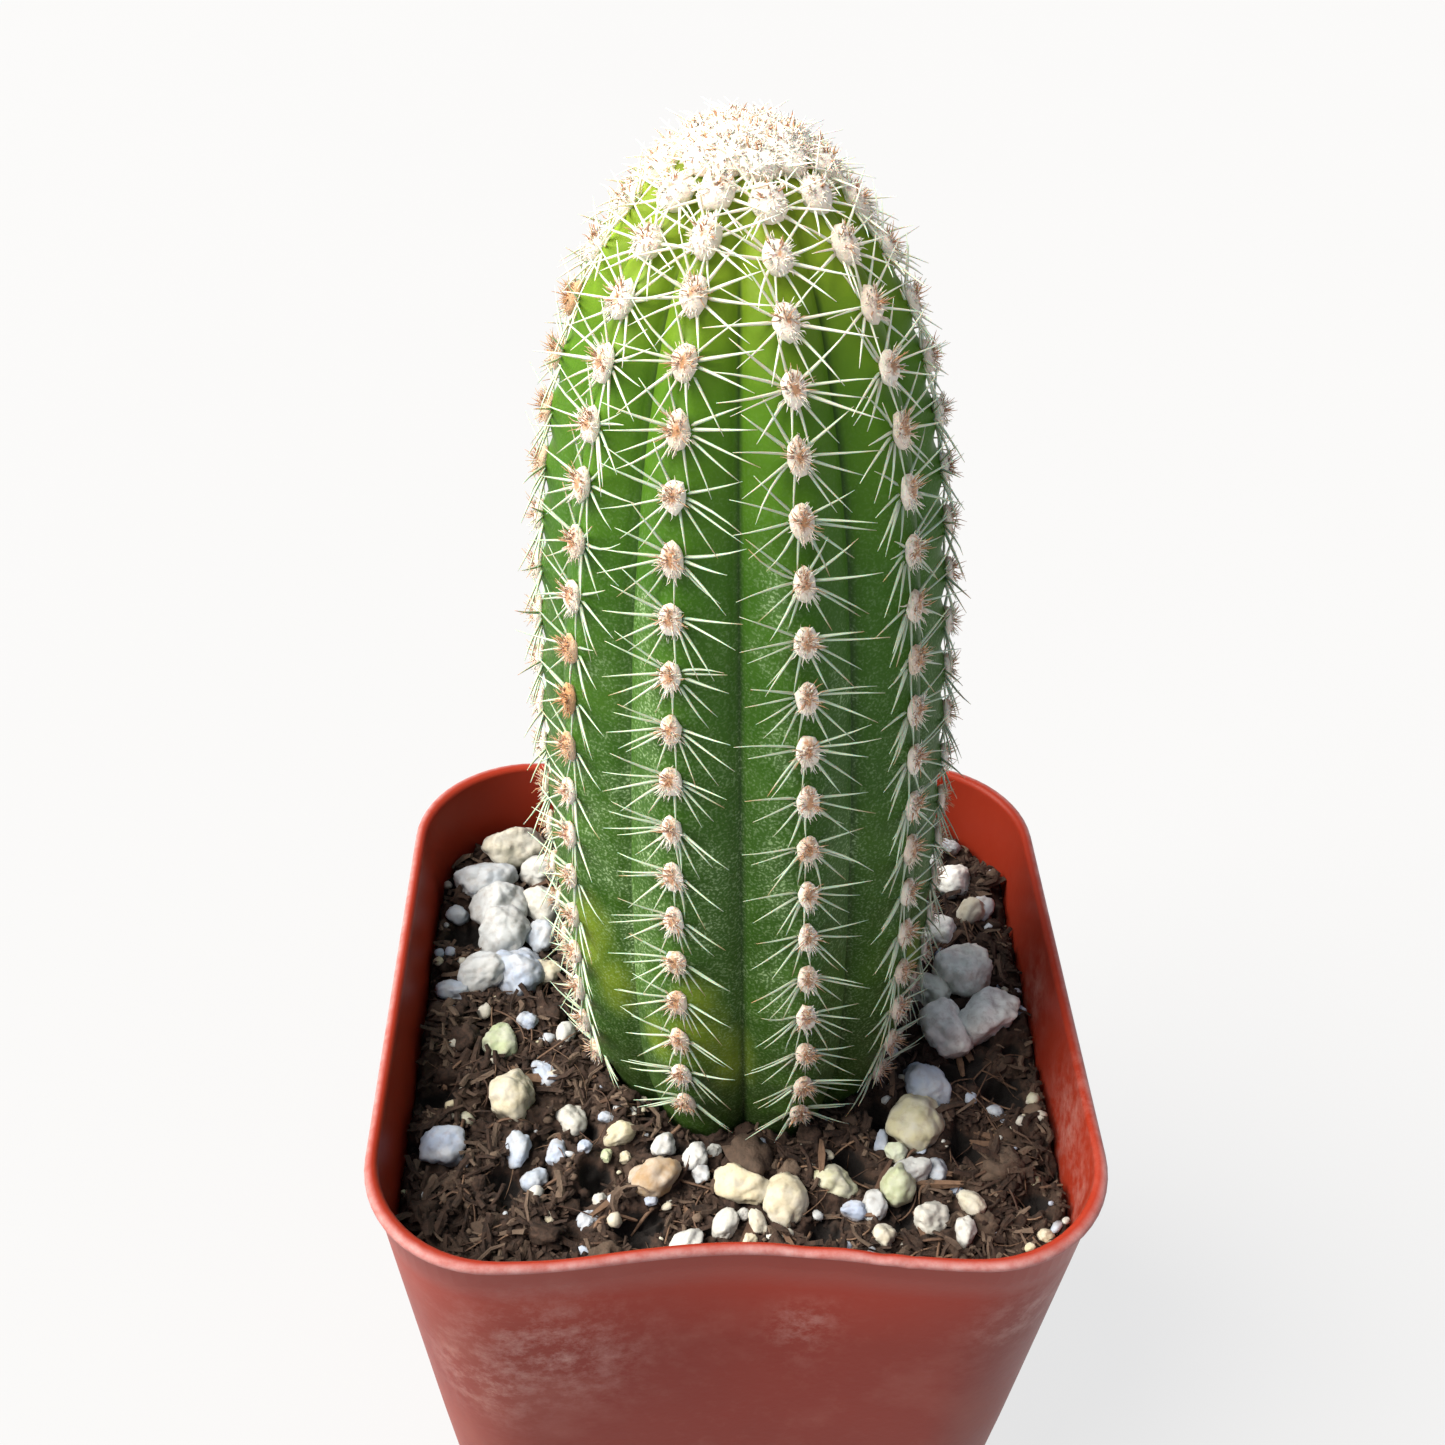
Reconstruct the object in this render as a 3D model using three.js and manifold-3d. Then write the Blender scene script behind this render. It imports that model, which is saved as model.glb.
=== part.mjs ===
// Potted rose quartz peanut cactus: one ribbed, spiny stem in potting mix, in a square
// nursery pot. Millimetres, +Z up, origin on the table under the middle of the pot,
// -Y towards the front.
import * as THREE from 'three';
import { mergeVertices } from 'three/addons/utils/BufferGeometryUtils.js';
import Module from 'manifold-3d';

// Clearance between neighbouring pieces
const GAP = 0.3;

// Pot: a thin square tub that widens upwards to a slim rounded lip
const RIM_WIDTH = 57;
const POT_HEIGHT = 57;
const RIM_CORNER = 9.1;
const WALL = 0.9;
const FLOOR = 1.2;
const FOOT_ROUND = 1.5;
const FLOOR_FILLET = 1;
const TIGHTEST_CORNER = 0.36;
const LIP_OVERHANG = 0.34;
const LIP_TURNS = [-35, 0, 45, 90, 135, 180];
const LIP_NECK = 2.2;
const TAPER = 0.089;
const FRONT_BOW = 1.6;
const WALL_RING = 30;
const DRAIN_DIAMETER = 4.4;
const DRAIN_STEPS = 16;
const DRAIN_FROM_CENTRE = 14;
const SIDE_STEPS = 4;
const CORNER_STEPS = 6;

// Potting mix: its top lies a little below the rim and is lumpy
const MIX_TOP = 50;
const MIX_EDGE = 1.2;
const TOP_RINGS = 6;
const TOP_RING_STEP = 2.6;
const TOP_EDGE_STEP = 0.7;
const LUMP_HEIGHT = 0.45;
const LOOSE_GRAINS = 27;
const LOOSE_GRAIN_SIZE = [1.2, 2.3];
const GRAIN_RISE = 0.45;
const GRAIN_SINK = 0.35;
const GRAIN_CORNERS = [0.76, 1];
const GRAIN_FLATNESS = 0.85;
const FINE_GRAIN = 1.2;
const BARK_SLIVERS = 10;
const BARK_LENGTH = [4, 7.5];
const BARK_ENDS = [0.35, 0.6];
const BARK_TILT = 0.25;

// Large perlite grains that lie on the mix: x, y and size
const LARGE_GRAINS = [
  [-18, -7.4, 3.7], [-22.6, -12.5, 3.5], [0.6, -17, 4.1], [3.8, -17.6, 4.3], [0.4, -20.4, 1.9],
  [-3.7, -21.6, 2.8], [-9.4, -11.3, 2.7], [-16.9, -15, 2.6], [-13.4, -9.5, 2.5], [-20.4, 14.8, 4.6],
  [-22, 18.4, 3.4], [-18.4, 11.4, 3.4], [-21, 5.4, 3.5], [-19.6, -0.6, 3.4], [21.2, 7.4, 4.6],
  [23, 2, 3.3], [19.2, 0.6, 3.3], [15.4, -9.8, 3.6], [15.4, -15.4, 4], [9, -16, 3.6],
  [10.8, -18.9, 2.6], [15, -19.6, 2.6], [18.8, -18, 2.1], [22, 19.6, 3.2], [17.9, -4.9, 2.4],
  [-6.2, -15.6, 3.2], [20.2, 12.4, 2.7], [-12, -19.4, 1.8], [2, 22.2, 3.2], [-8, 21.4, 3.8],
  [10, 20.6, 2.8],
];

// Stem: a cactus column whose outline is given as crest radius and height
const STEM_OUTLINE = [
  [0, 41], [7.2, 41.9], [10.9, 45], [12.3, 49], [13.7, 54], [14.7, 59.5], [15.05, 69],
  [14.9, 83], [14.3, 95], [13.5, 104], [12.2, 112], [10.1, 119], [7.9, 123], [5, 126.6],
  [2.2, 128.6], [0, 129],
];
const STEM_FOOT = [1.05, 1.75];
const STEM_LEAN = -0.033;
const RIBS = 10;
const RIB_PHASE = -3;
const RIB_STEPS = 4;
const FURROW = 1.25;
const FURROW_FULL_RADIUS = 11;
const AREOLE_SPACING = 4.3;
const CROWN_FIRST_AREOLE = 3;
const LAST_AREOLE_ABOVE_MIX = 2.2;
const CROWN_CROWDING = 0.42;
const CROWDED_AREOLES = 1.7;
const PAD_HEIGHT = 0.45;
const PAD_DIP = 0.15;
const BURIED_RINGS = 2;

// Hole in the mix: its rings are few, so its flats stand a little further off than the gap
const HOLE_GAP = 0.4;
const HOLE_RINGS = 8;
const HOLE_ABOVE = 6;

// How far each rib swings round the stem, in degrees over SWAY_SPAN below mid height, and how
// far its areoles are shifted up; rib 0 is at the back left and the numbers run anticlockwise
const RIB_SWAY = [1, -2, -4, -5, 0.5, 1.5, 0.5, 1, -1, 2];
const RIB_SHIFT = [1.1, -0.9, 0.7, -0.4, 1.3, 0, -0.4, 1.2, -1.3, 0.5];
const SWAY_SPAN = 30;
const MID_HEIGHT = 87;
const SHIFT_FADE_CROWN = 12;
const SHIFT_FADE_FOOT = 10;

// Spines: three-sided needles that fan out from each areole
const SPINE_LENGTH = [4.2, 5.4];
const SPINE_ROOT = 0.17;
const SPINE_SINK = 0.4;
const SPINE_SPREAD = 0.35;
const SPINE_RAISE = [9, 24];
const CROWN_RAISE = 26;
const CROWN_SHORTER = 0.2;
const CROWN_AREOLES = 3;
const SPINE_FANS = [[-14, 194, -52, 232], [16, 164, -32, 212], [-8, 188, 62, -84]];
const SPINE_JITTER = 14;
const SPINE_CLEARANCE = 0.5;

const wasm = await Module();
wasm.setup();

// Seeded draws, so that every build is the same
function seededRandom(seed) {
  let state = seed;
  return function next() {
    state = (state + 0x6d2b79f5) | 0;
    let mixed = Math.imul(state ^ (state >>> 15), 1 | state);
    mixed = (mixed + Math.imul(mixed ^ (mixed >>> 7), 61 | mixed)) ^ mixed;
    return ((mixed ^ (mixed >>> 14)) >>> 0) / 4294967296;
  };
}

function between(random, [low, high]) {
  return low + (high - low) * random();
}

// A closed geometry as a solid that can be joined and cut
function toSolid(geometry) {
  const bare = geometry.clone();
  bare.deleteAttribute('normal');
  bare.deleteAttribute('uv');
  const merged = mergeVertices(bare, 1e-4);
  return new wasm.Manifold(new wasm.Mesh({
    numProp: 3,
    vertProperties: new Float32Array(merged.getAttribute('position').array),
    triVerts: new Uint32Array(merged.getIndex().array),
  }));
}

function toGeometry(solid) {
  const mesh = solid.getMesh();
  const geometry = new THREE.BufferGeometry();
  geometry.setAttribute('position', new THREE.BufferAttribute(mesh.vertProperties, 3));
  geometry.setIndex(new THREE.BufferAttribute(mesh.triVerts, 1));
  geometry.computeVertexNormals();
  return geometry;
}

// Half width of the pot's outer and inner wall faces at a height
function outerHalf(height) {
  return RIM_WIDTH / 2 - LIP_OVERHANG - TAPER * (POT_HEIGHT - height);
}

function innerHalf(height) {
  return outerHalf(height) - WALL;
}

// Point number `step` of a rounded square drawn anticlockwise from the middle of its +X side
function squarePoint(step, half, corner) {
  const quarterSteps = 2 * SIDE_STEPS + CORNER_STEPS;
  const quarter = Math.floor(step / quarterSteps);
  const k = step % quarterSteps;
  const straight = half - corner;
  const bend = Math.min(Math.max(k - SIDE_STEPS, 0), CORNER_STEPS) / CORNER_STEPS;
  const angle = bend * Math.PI / 2;
  const before = Math.min(k / SIDE_STEPS, 1);
  const after = Math.min((quarterSteps - k) / SIDE_STEPS, 1);
  const point = new THREE.Vector2(straight * after, straight * before);
  point.x += corner * Math.cos(angle);
  point.y += corner * Math.sin(angle);
  return point.rotateAround(new THREE.Vector2(), quarter * Math.PI / 2);
}

// The same point on a wall of the pot, whose front is pressed in towards the rim
function tubPoint(step, half, height) {
  const inset = outerHalf(height) - half;
  const corner = Math.min(Math.max(RIM_CORNER - inset, TIGHTEST_CORNER * half), half);
  const point = squarePoint(step, half, corner);
  const reach = half - corner;
  if (point.y < 0 && Math.abs(point.x) < reach) {
    const press = FRONT_BOW * (height / POT_HEIGHT) ** 2 * (half / outerHalf(height));
    point.y += press * Math.cos(Math.PI * point.x / (2 * reach)) ** 2;
  }
  return point;
}

// A lathe solid whose turns are pulled out to the pot's rounded square; each profile point
// is a half width and a height, and lift adds to the height of the points that it names
function tubGeometry(profile, lift = () => 0) {
  const steps = 4 * (2 * SIDE_STEPS + CORNER_STEPS);
  const geometry = new THREE.LatheGeometry(profile, steps);
  const position = geometry.getAttribute('position');
  for (let i = 0; i < position.count; i += 1) {
    const step = Math.floor(i / profile.length) % steps;
    const place = profile[i % profile.length];
    const point = tubPoint(step, place.x, place.y);
    position.setXYZ(i, point.x, point.y, place.y + lift(point.x, point.y, place.y));
  }
  return geometry;
}

function potProfile() {
  const lip = (LIP_OVERHANG + WALL) / 2;
  const lipCentre = new THREE.Vector2(RIM_WIDTH / 2 - lip, POT_HEIGHT - lip);
  const neck = POT_HEIGHT - LIP_NECK * lip;
  const profile = [
    new THREE.Vector2(0, 0),
    new THREE.Vector2(outerHalf(0) - FOOT_ROUND, 0),
    new THREE.Vector2(outerHalf(0) - 0.3 * FOOT_ROUND, 0.3 * FOOT_ROUND),
    new THREE.Vector2(outerHalf(FOOT_ROUND), FOOT_ROUND),
    new THREE.Vector2(outerHalf(WALL_RING), WALL_RING),
    new THREE.Vector2(outerHalf(neck), neck),
  ];
  LIP_TURNS.forEach((turn) => {
    const angle = THREE.MathUtils.degToRad(turn);
    profile.push(new THREE.Vector2(Math.cos(angle), Math.sin(angle)).multiplyScalar(lip).add(lipCentre));
  });
  profile.push(
    new THREE.Vector2(innerHalf(WALL_RING), WALL_RING),
    new THREE.Vector2(innerHalf(FLOOR + FLOOR_FILLET), FLOOR + FLOOR_FILLET),
    new THREE.Vector2(innerHalf(FLOOR) - FLOOR_FILLET, FLOOR),
    new THREE.Vector2(0, FLOOR),
  );
  return profile;
}

function makePot() {
  let tub = toSolid(tubGeometry(potProfile()));
  const radius = DRAIN_DIAMETER / 2;
  for (let k = 0; k < 4; k += 1) {
    const hole = new THREE.CylinderGeometry(radius, radius, 3 * FLOOR, DRAIN_STEPS);
    hole.rotateX(Math.PI / 2);
    hole.translate(DRAIN_FROM_CENTRE, 0, FLOOR / 2);
    hole.rotateZ(Math.PI / 4 + k * Math.PI / 2);
    tub = tub.subtract(toSolid(hole));
  }
  return toGeometry(tub);
}

// The stem's outline as a smooth curve, and its centre line
const outline = new THREE.SplineCurve(STEM_OUTLINE.map(([r, z]) => new THREE.Vector2(r, z)));
const outlineLength = outline.getLength();

function stemCentre(height) {
  return new THREE.Vector2(STEM_FOOT[0] + STEM_LEAN * (height - MIX_TOP - 7), STEM_FOOT[1]);
}

// Depth below the apex, along the outline, at which areole number n of a rib sits
function areoleDepth(n) {
  let depth = CROWN_FIRST_AREOLE;
  for (let k = 1; k <= n; k += 1) {
    depth += AREOLE_SPACING * (1 - CROWN_CROWDING * Math.exp((1 - k) / CROWDED_AREOLES));
  }
  return depth;
}

function depthOfHeight(height) {
  let low = 0;
  let high = outlineLength;
  for (let k = 0; k < 40; k += 1) {
    const middle = (low + high) / 2;
    const above = outline.getPointAt(1 - middle / outlineLength).y > height;
    low = above ? middle : low;
    high = above ? high : middle;
  }
  return low;
}

const mixDepth = depthOfHeight(MIX_TOP);

// Number of areoles on a rib: the last one sits just above the mix
function countAreoles() {
  let count = 1;
  while (areoleDepth(count) < mixDepth - LAST_AREOLE_ABOVE_MIX) {
    count += 1;
  }
  return count;
}

const areoleCount = countAreoles();

// How strongly a rib's own shift moves a point: not at the apex nor below the mix
function shiftWeight(depth) {
  const crown = Math.min(depth / SHIFT_FADE_CROWN, 1);
  const foot = Math.min(Math.max((mixDepth - depth) / SHIFT_FADE_FOOT + 0.6, 0), 1);
  return crown * foot;
}

function ribAngle(rib, height) {
  const k = ((rib % RIBS) + RIBS) % RIBS;
  const straight = RIB_PHASE + (rib - (RIBS - 1) / 2) * 360 / RIBS;
  return straight + RIB_SWAY[k] * (MID_HEIGHT - height) / SWAY_SPAN;
}

// A point of the stem's skin: rib is a whole number on a crest and a half in a furrow,
// depth runs down the outline from the apex, raise stands out from the skin
function stemPoint(rib, depth, raise = 0) {
  const left = Math.floor(rib);
  const across = rib - left;
  const shiftLeft = RIB_SHIFT[((left % RIBS) + RIBS) % RIBS];
  const shiftRight = RIB_SHIFT[(((left + 1) % RIBS) + RIBS) % RIBS];
  const shift = THREE.MathUtils.lerp(shiftLeft, shiftRight, across) * shiftWeight(depth);
  const reached = Math.min(Math.max(depth - shift, 0), outlineLength);
  const place = outline.getPointAt(1 - reached / outlineLength);
  const centre = stemCentre(place.y);
  const turn = THREE.MathUtils.lerp(ribAngle(left, place.y), ribAngle(left + 1, place.y), across);
  const angle = THREE.MathUtils.degToRad(turn);
  const deep = FURROW * Math.min(place.x / FURROW_FULL_RADIUS, 1);
  const furrow = deep * (1 - Math.abs(Math.cos(Math.PI * across)));
  const radius = Math.max(place.x - furrow + raise, 0);
  return new THREE.Vector3(
    centre.x + radius * Math.sin(angle),
    centre.y - radius * Math.cos(angle),
    place.y,
  );
}

// Depths of the rings of the stem's mesh: one at each areole and one midway to the next,
// then a few down the buried foot
function ringDepths() {
  const depths = [];
  for (let n = 0; n < areoleCount; n += 1) {
    depths.push(areoleDepth(n), (areoleDepth(n) + areoleDepth(n + 1)) / 2);
  }
  const last = depths[depths.length - 1];
  for (let k = 1; k <= BURIED_RINGS; k += 1) {
    depths.push(last + (outlineLength - last) * k / (BURIED_RINGS + 1));
  }
  return depths;
}

// The stem from apex to foot, with a low cushion raised at every areole
function stemGeometry() {
  const depths = [0, ...ringDepths(), outlineLength].reverse();
  const columns = RIBS * RIB_STEPS;
  const profile = depths.map((depth) => outline.getPointAt(1 - depth / outlineLength));
  profile[0].x = 0;
  profile[profile.length - 1].x = 0;
  const geometry = new THREE.LatheGeometry(profile, columns);
  const position = geometry.getAttribute('position');
  for (let i = 0; i < position.count; i += 1) {
    const column = Math.floor(i / depths.length) % columns;
    const ring = depths.length - 1 - (i % depths.length);
    const onCrest = column % RIB_STEPS === 0 && ring > 1 && ring <= 2 * areoleCount;
    const cushion = ring % 2 === 1 ? PAD_HEIGHT : -PAD_DIP;
    const depth = depths[i % depths.length];
    const point = stemPoint(column / RIB_STEPS, depth, onCrest ? cushion : 0);
    position.setXYZ(i, point.x, point.y, point.z);
  }
  return geometry;
}

// An areole's place on the skin, with the directions out of it, across the rib and up the rib
function areoleFrame(rib, n) {
  const depth = areoleDepth(n);
  const step = 0.4;
  const across = stemPoint(rib + 0.02, depth).sub(stemPoint(rib - 0.02, depth)).normalize();
  const up = stemPoint(rib, depth - step).sub(stemPoint(rib, depth + step)).normalize();
  const out = new THREE.Vector3().crossVectors(across, up).normalize();
  return { place: stemPoint(rib, depth, n > 0 ? PAD_HEIGHT : 0), out, across, up };
}

// One needle from its sunk root to its tip
function spineGeometry(root, tip, roll) {
  const length = root.distanceTo(tip);
  const needle = new THREE.ConeGeometry(SPINE_ROOT, length, 3);
  needle.translate(0, length / 2, 0);
  needle.rotateY(roll);
  const direction = new THREE.Vector3().subVectors(tip, root).normalize();
  needle.applyQuaternion(new THREE.Quaternion().setFromUnitVectors(new THREE.Vector3(0, 1, 0), direction));
  needle.translate(root.x, root.y, root.z);
  return needle;
}

// Root and tip of one spine; its bearing runs from across the rib towards up the rib
function spineLine(frame, bearing, raise, length, roll) {
  const aim = THREE.MathUtils.degToRad(bearing);
  const lean = THREE.MathUtils.degToRad(raise);
  const along = frame.across.clone().multiplyScalar(Math.cos(aim)).addScaledVector(frame.up, Math.sin(aim));
  const root = frame.place.clone().addScaledVector(frame.out, -SPINE_SINK);
  root.addScaledVector(along, SPINE_SPREAD);
  const direction = along.multiplyScalar(Math.cos(lean)).addScaledVector(frame.out, Math.sin(lean));
  const tip = root.clone().addScaledVector(direction, length + SPINE_SINK);
  return { root, tip, roll };
}

// Every spine of the plant; one that would touch the mix or a grain points up instead of down
function spineLines(grains) {
  const random = seededRandom(7);
  const lines = [];
  for (let rib = 0; rib < RIBS; rib += 1) {
    for (let n = 0; n < areoleCount; n += 1) {
      const frame = areoleFrame(rib, n);
      const crown = Math.max(1 - n / CROWN_AREOLES, 0);
      SPINE_FANS[(rib + n) % SPINE_FANS.length].forEach((bearing) => {
        const aim = bearing + SPINE_JITTER * (2 * random() - 1);
        const raise = between(random, SPINE_RAISE) + CROWN_RAISE * crown;
        const length = between(random, SPINE_LENGTH) * (1 - CROWN_SHORTER * crown);
        const roll = random() * Math.PI;
        const spines = [aim, -aim].map((turn) => spineLine(frame, turn, raise, length, roll));
        const clear = spines.find((spine) => clearOfMix(spine, grains));
        if (clear) {
          lines.push(clear);
        }
      });
    }
  }
  return lines;
}

// Height of the mix's bare surface
function mixHeight(x, y) {
  const lumps = Math.sin(0.75 * x + 1.3) * Math.cos(0.65 * y) + 0.6 * Math.sin(0.9 * x - 0.5 * y);
  return MIX_TOP + LUMP_HEIGHT * lumps;
}

function clearOfStem(x, y, reach) {
  const centre = stemCentre(MIX_TOP);
  const radius = outline.getPointAt(1 - (mixDepth - 3) / outlineLength).x;
  return Math.hypot(x - centre.x, y - centre.y) > radius + GAP + reach;
}

function clearOfPot(x, y, reach) {
  const half = innerHalf(MIX_TOP) - GAP - reach;
  const corner = RIM_CORNER - WALL - reach;
  const beyondX = Math.max(Math.abs(x) - half + corner, 0);
  const beyondY = Math.max(Math.abs(y) - half + corner, 0);
  return Math.hypot(beyondX, beyondY) < corner;
}

// Places and sizes of the perlite grains: the large ones, then loose small ones
function grainList() {
  const random = seededRandom(11);
  const grains = LARGE_GRAINS.map(([x, y, size]) => ({ x, y, radius: size / 2 }));
  while (grains.length < LARGE_GRAINS.length + LOOSE_GRAINS) {
    const x = (2 * random() - 1) * innerHalf(MIX_TOP);
    const y = (2 * random() - 1) * innerHalf(MIX_TOP);
    const radius = between(random, LOOSE_GRAIN_SIZE) / 2;
    const apart = grains.every((grain) => Math.hypot(grain.x - x, grain.y - y) > grain.radius + radius);
    if (apart && clearOfStem(x, y, radius) && clearOfPot(x, y, radius)) {
      grains.push({ x, y, radius });
    }
  }
  return grains.map((grain) => ({
    ...grain,
    z: mixHeight(grain.x, grain.y) + GRAIN_RISE * grain.radius - GRAIN_SINK,
  }));
}

// A grain is a lump with its corners pushed in unevenly: twenty faces on a large one,
// eight on a small one
function grainGeometry(grain, random) {
  const Lump = grain.radius > FINE_GRAIN ? THREE.IcosahedronGeometry : THREE.OctahedronGeometry;
  const whole = new Lump(grain.radius, 0);
  const lump = mergeVertices(whole.deleteAttribute('normal').deleteAttribute('uv'));
  const position = lump.getAttribute('position');
  for (let i = 0; i < position.count; i += 1) {
    const push = between(random, GRAIN_CORNERS);
    const corner = new THREE.Vector3().fromBufferAttribute(position, i).multiplyScalar(push);
    position.setXYZ(i, corner.x, corner.y, corner.z * GRAIN_FLATNESS);
  }
  lump.rotateZ(random() * Math.PI);
  lump.translate(grain.x, grain.y, grain.z);
  return lump;
}

// A sliver of bark lies on the mix, one end a little raised
function barkGeometry(random) {
  let x = 0;
  let y = 0;
  const length = between(random, BARK_LENGTH);
  do {
    x = (2 * random() - 1) * innerHalf(MIX_TOP);
    y = (2 * random() - 1) * innerHalf(MIX_TOP);
  } while (!clearOfStem(x, y, length / 2) || !clearOfPot(x, y, length / 2));
  const sliver = new THREE.CylinderGeometry(BARK_ENDS[0], BARK_ENDS[1], length, 4);
  sliver.rotateZ(Math.PI / 2);
  sliver.rotateY(BARK_TILT * (2 * random() - 1));
  sliver.rotateZ(random() * Math.PI);
  sliver.translate(x, y, mixHeight(x, y));
  return sliver;
}

// The plain hole that the stem stands in, one gap wider than the stem's crests
function holeGeometry() {
  const profile = [new THREE.Vector2(0, STEM_OUTLINE[0][1] - HOLE_GAP)];
  for (let k = 1; k <= HOLE_RINGS; k += 1) {
    const depth = outlineLength - (outlineLength - mixDepth + HOLE_ABOVE) * k / HOLE_RINGS;
    const place = outline.getPointAt(1 - depth / outlineLength);
    const slope = outline.getTangentAt(1 - depth / outlineLength);
    profile.push(new THREE.Vector2(place.x + HOLE_GAP * slope.y, place.y - HOLE_GAP * slope.x));
  }
  const top = profile[profile.length - 1];
  profile.push(new THREE.Vector2(0, top.y));
  const hole = new THREE.LatheGeometry(profile, 3 * RIBS);
  const position = hole.getAttribute('position');
  for (let i = 0; i < position.count; i += 1) {
    const centre = stemCentre(position.getY(i));
    position.setXYZ(i, centre.x + position.getZ(i), centre.y + position.getX(i), position.getY(i));
  }
  return hole;
}

function mixProfile() {
  const bottom = FLOOR + GAP;
  const edge = innerHalf(MIX_TOP) - GAP;
  const profile = [
    new THREE.Vector2(0, bottom),
    new THREE.Vector2(innerHalf(bottom) - GAP - FLOOR_FILLET, bottom),
    new THREE.Vector2(innerHalf(bottom + FLOOR_FILLET) - GAP, bottom + FLOOR_FILLET),
    new THREE.Vector2(innerHalf(WALL_RING) - GAP, WALL_RING),
    new THREE.Vector2(innerHalf(MIX_TOP - MIX_EDGE) - GAP, MIX_TOP - MIX_EDGE),
  ];
  for (let k = 0; k < TOP_RINGS; k += 1) {
    profile.push(new THREE.Vector2(edge - TOP_EDGE_STEP - k * TOP_RING_STEP, MIX_TOP));
  }
  profile.push(new THREE.Vector2(0, MIX_TOP));
  return profile;
}

function makeMix(grains) {
  const lift = (x, y, height) => (height === MIX_TOP ? mixHeight(x, y) - MIX_TOP : 0);
  const random = seededRandom(19);
  let mix = toSolid(tubGeometry(mixProfile(), lift));
  for (let k = 0; k < BARK_SLIVERS; k += 1) {
    mix = mix.add(toSolid(barkGeometry(random)));
  }
  grains.forEach((grain) => {
    mix = mix.add(toSolid(grainGeometry(grain, random)));
  });
  return toGeometry(mix.subtract(toSolid(holeGeometry())));
}

// Whether a spine stays clear of the mix and its grains
function clearOfMix({ root, tip }, grains) {
  const line = new THREE.Line3(root, tip);
  const nearest = new THREE.Vector3();
  return tip.z > mixHeight(tip.x, tip.y) + 2 * LUMP_HEIGHT + SPINE_CLEARANCE && grains.every((grain) => {
    const centre = new THREE.Vector3(grain.x, grain.y, grain.z);
    line.closestPointToPoint(centre, true, nearest);
    return nearest.distanceTo(centre) > grain.radius + SPINE_CLEARANCE;
  });
}

function makeCactus(grains) {
  let plant = toSolid(stemGeometry());
  spineLines(grains).forEach(({ root, tip, roll }) => {
    plant = plant.add(toSolid(spineGeometry(root, tip, roll)));
  });
  return toGeometry(plant);
}

function makePart() {
  const plastic = new THREE.MeshStandardMaterial({ color: 0x8f3b2d, roughness: 0.5, metalness: 0 });
  const peat = new THREE.MeshStandardMaterial({ color: 0x3d2b21, roughness: 1, metalness: 0 });
  const skin = new THREE.MeshStandardMaterial({ color: 0x4b7a2b, roughness: 0.6, metalness: 0 });
  const grains = grainList();
  const pot = new THREE.Mesh(makePot(), plastic);
  const mix = new THREE.Mesh(makeMix(grains), peat);
  const cactus = new THREE.Mesh(makeCactus(grains), skin);
  pot.name = 'pot';
  mix.name = 'potting_mix';
  cactus.name = 'cactus';
  const part = new THREE.Group();
  part.add(pot, mix, cactus);
  return part;
}

export default makePart();
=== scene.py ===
# The looks of a potted peanut cactus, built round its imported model: a finely ribbed stem with
# woolly areoles and spines, loose peat strewn with perlite, and a worn square nursery pot.
# Lengths are in millimetres unless a name or a property says otherwise.
import functools
import math
import random
from bisect import bisect_left

import bmesh
import bpy
from mathutils import Matrix, Vector, noise
from mathutils.geometry import interpolate_bezier


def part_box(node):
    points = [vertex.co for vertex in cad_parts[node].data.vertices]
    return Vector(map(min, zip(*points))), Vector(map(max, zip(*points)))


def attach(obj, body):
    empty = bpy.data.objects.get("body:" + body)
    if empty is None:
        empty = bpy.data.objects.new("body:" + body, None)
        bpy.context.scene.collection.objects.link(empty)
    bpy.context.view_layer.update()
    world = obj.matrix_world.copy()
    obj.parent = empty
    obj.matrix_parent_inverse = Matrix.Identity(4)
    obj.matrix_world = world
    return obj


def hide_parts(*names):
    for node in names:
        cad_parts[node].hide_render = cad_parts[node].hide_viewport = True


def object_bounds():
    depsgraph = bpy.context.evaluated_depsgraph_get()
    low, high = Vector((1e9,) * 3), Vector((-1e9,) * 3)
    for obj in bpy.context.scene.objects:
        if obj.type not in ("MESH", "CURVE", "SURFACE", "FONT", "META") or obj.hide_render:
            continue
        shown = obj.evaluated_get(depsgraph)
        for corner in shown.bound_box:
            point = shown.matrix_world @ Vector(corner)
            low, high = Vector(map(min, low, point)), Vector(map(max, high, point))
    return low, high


bl_info = {
    "name": "Potted peanut cactus",
    "version": (1, 0, 0),
    "blender": (4, 5, 0),
    "location": "3D View > Sidebar > Cactus",
    "description": "Dresses the packed pot, potting mix and cactus in fine shapes and materials",
    "category": "Add Mesh",
}

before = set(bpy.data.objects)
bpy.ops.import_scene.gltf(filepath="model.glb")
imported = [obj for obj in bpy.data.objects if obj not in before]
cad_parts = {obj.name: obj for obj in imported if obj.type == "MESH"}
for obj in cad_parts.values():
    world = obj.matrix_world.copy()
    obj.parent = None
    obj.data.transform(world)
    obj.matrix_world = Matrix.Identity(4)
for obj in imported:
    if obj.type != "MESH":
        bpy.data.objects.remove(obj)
CAD_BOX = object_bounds()
MM = 0.001
BODY = "root"

# One seed for each piece or group of pieces that is strewn or varied by chance
SEEDS = {
    "peat_crumbs": 31, "peat_lumps": 32, "peat_clods": 33, "peat_shreds": 39, "root_fibres": 41,
    "bark_slivers": 43, "perlite_large": 51, "fine_places": 53, "perlite_small": 57, "wool": 61,
    "spines": 71,
}

# Clearance between neighbouring pieces, and how near points are merged
GAP = 0.3
MERGE_DISTANCE = 1e-4

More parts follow.
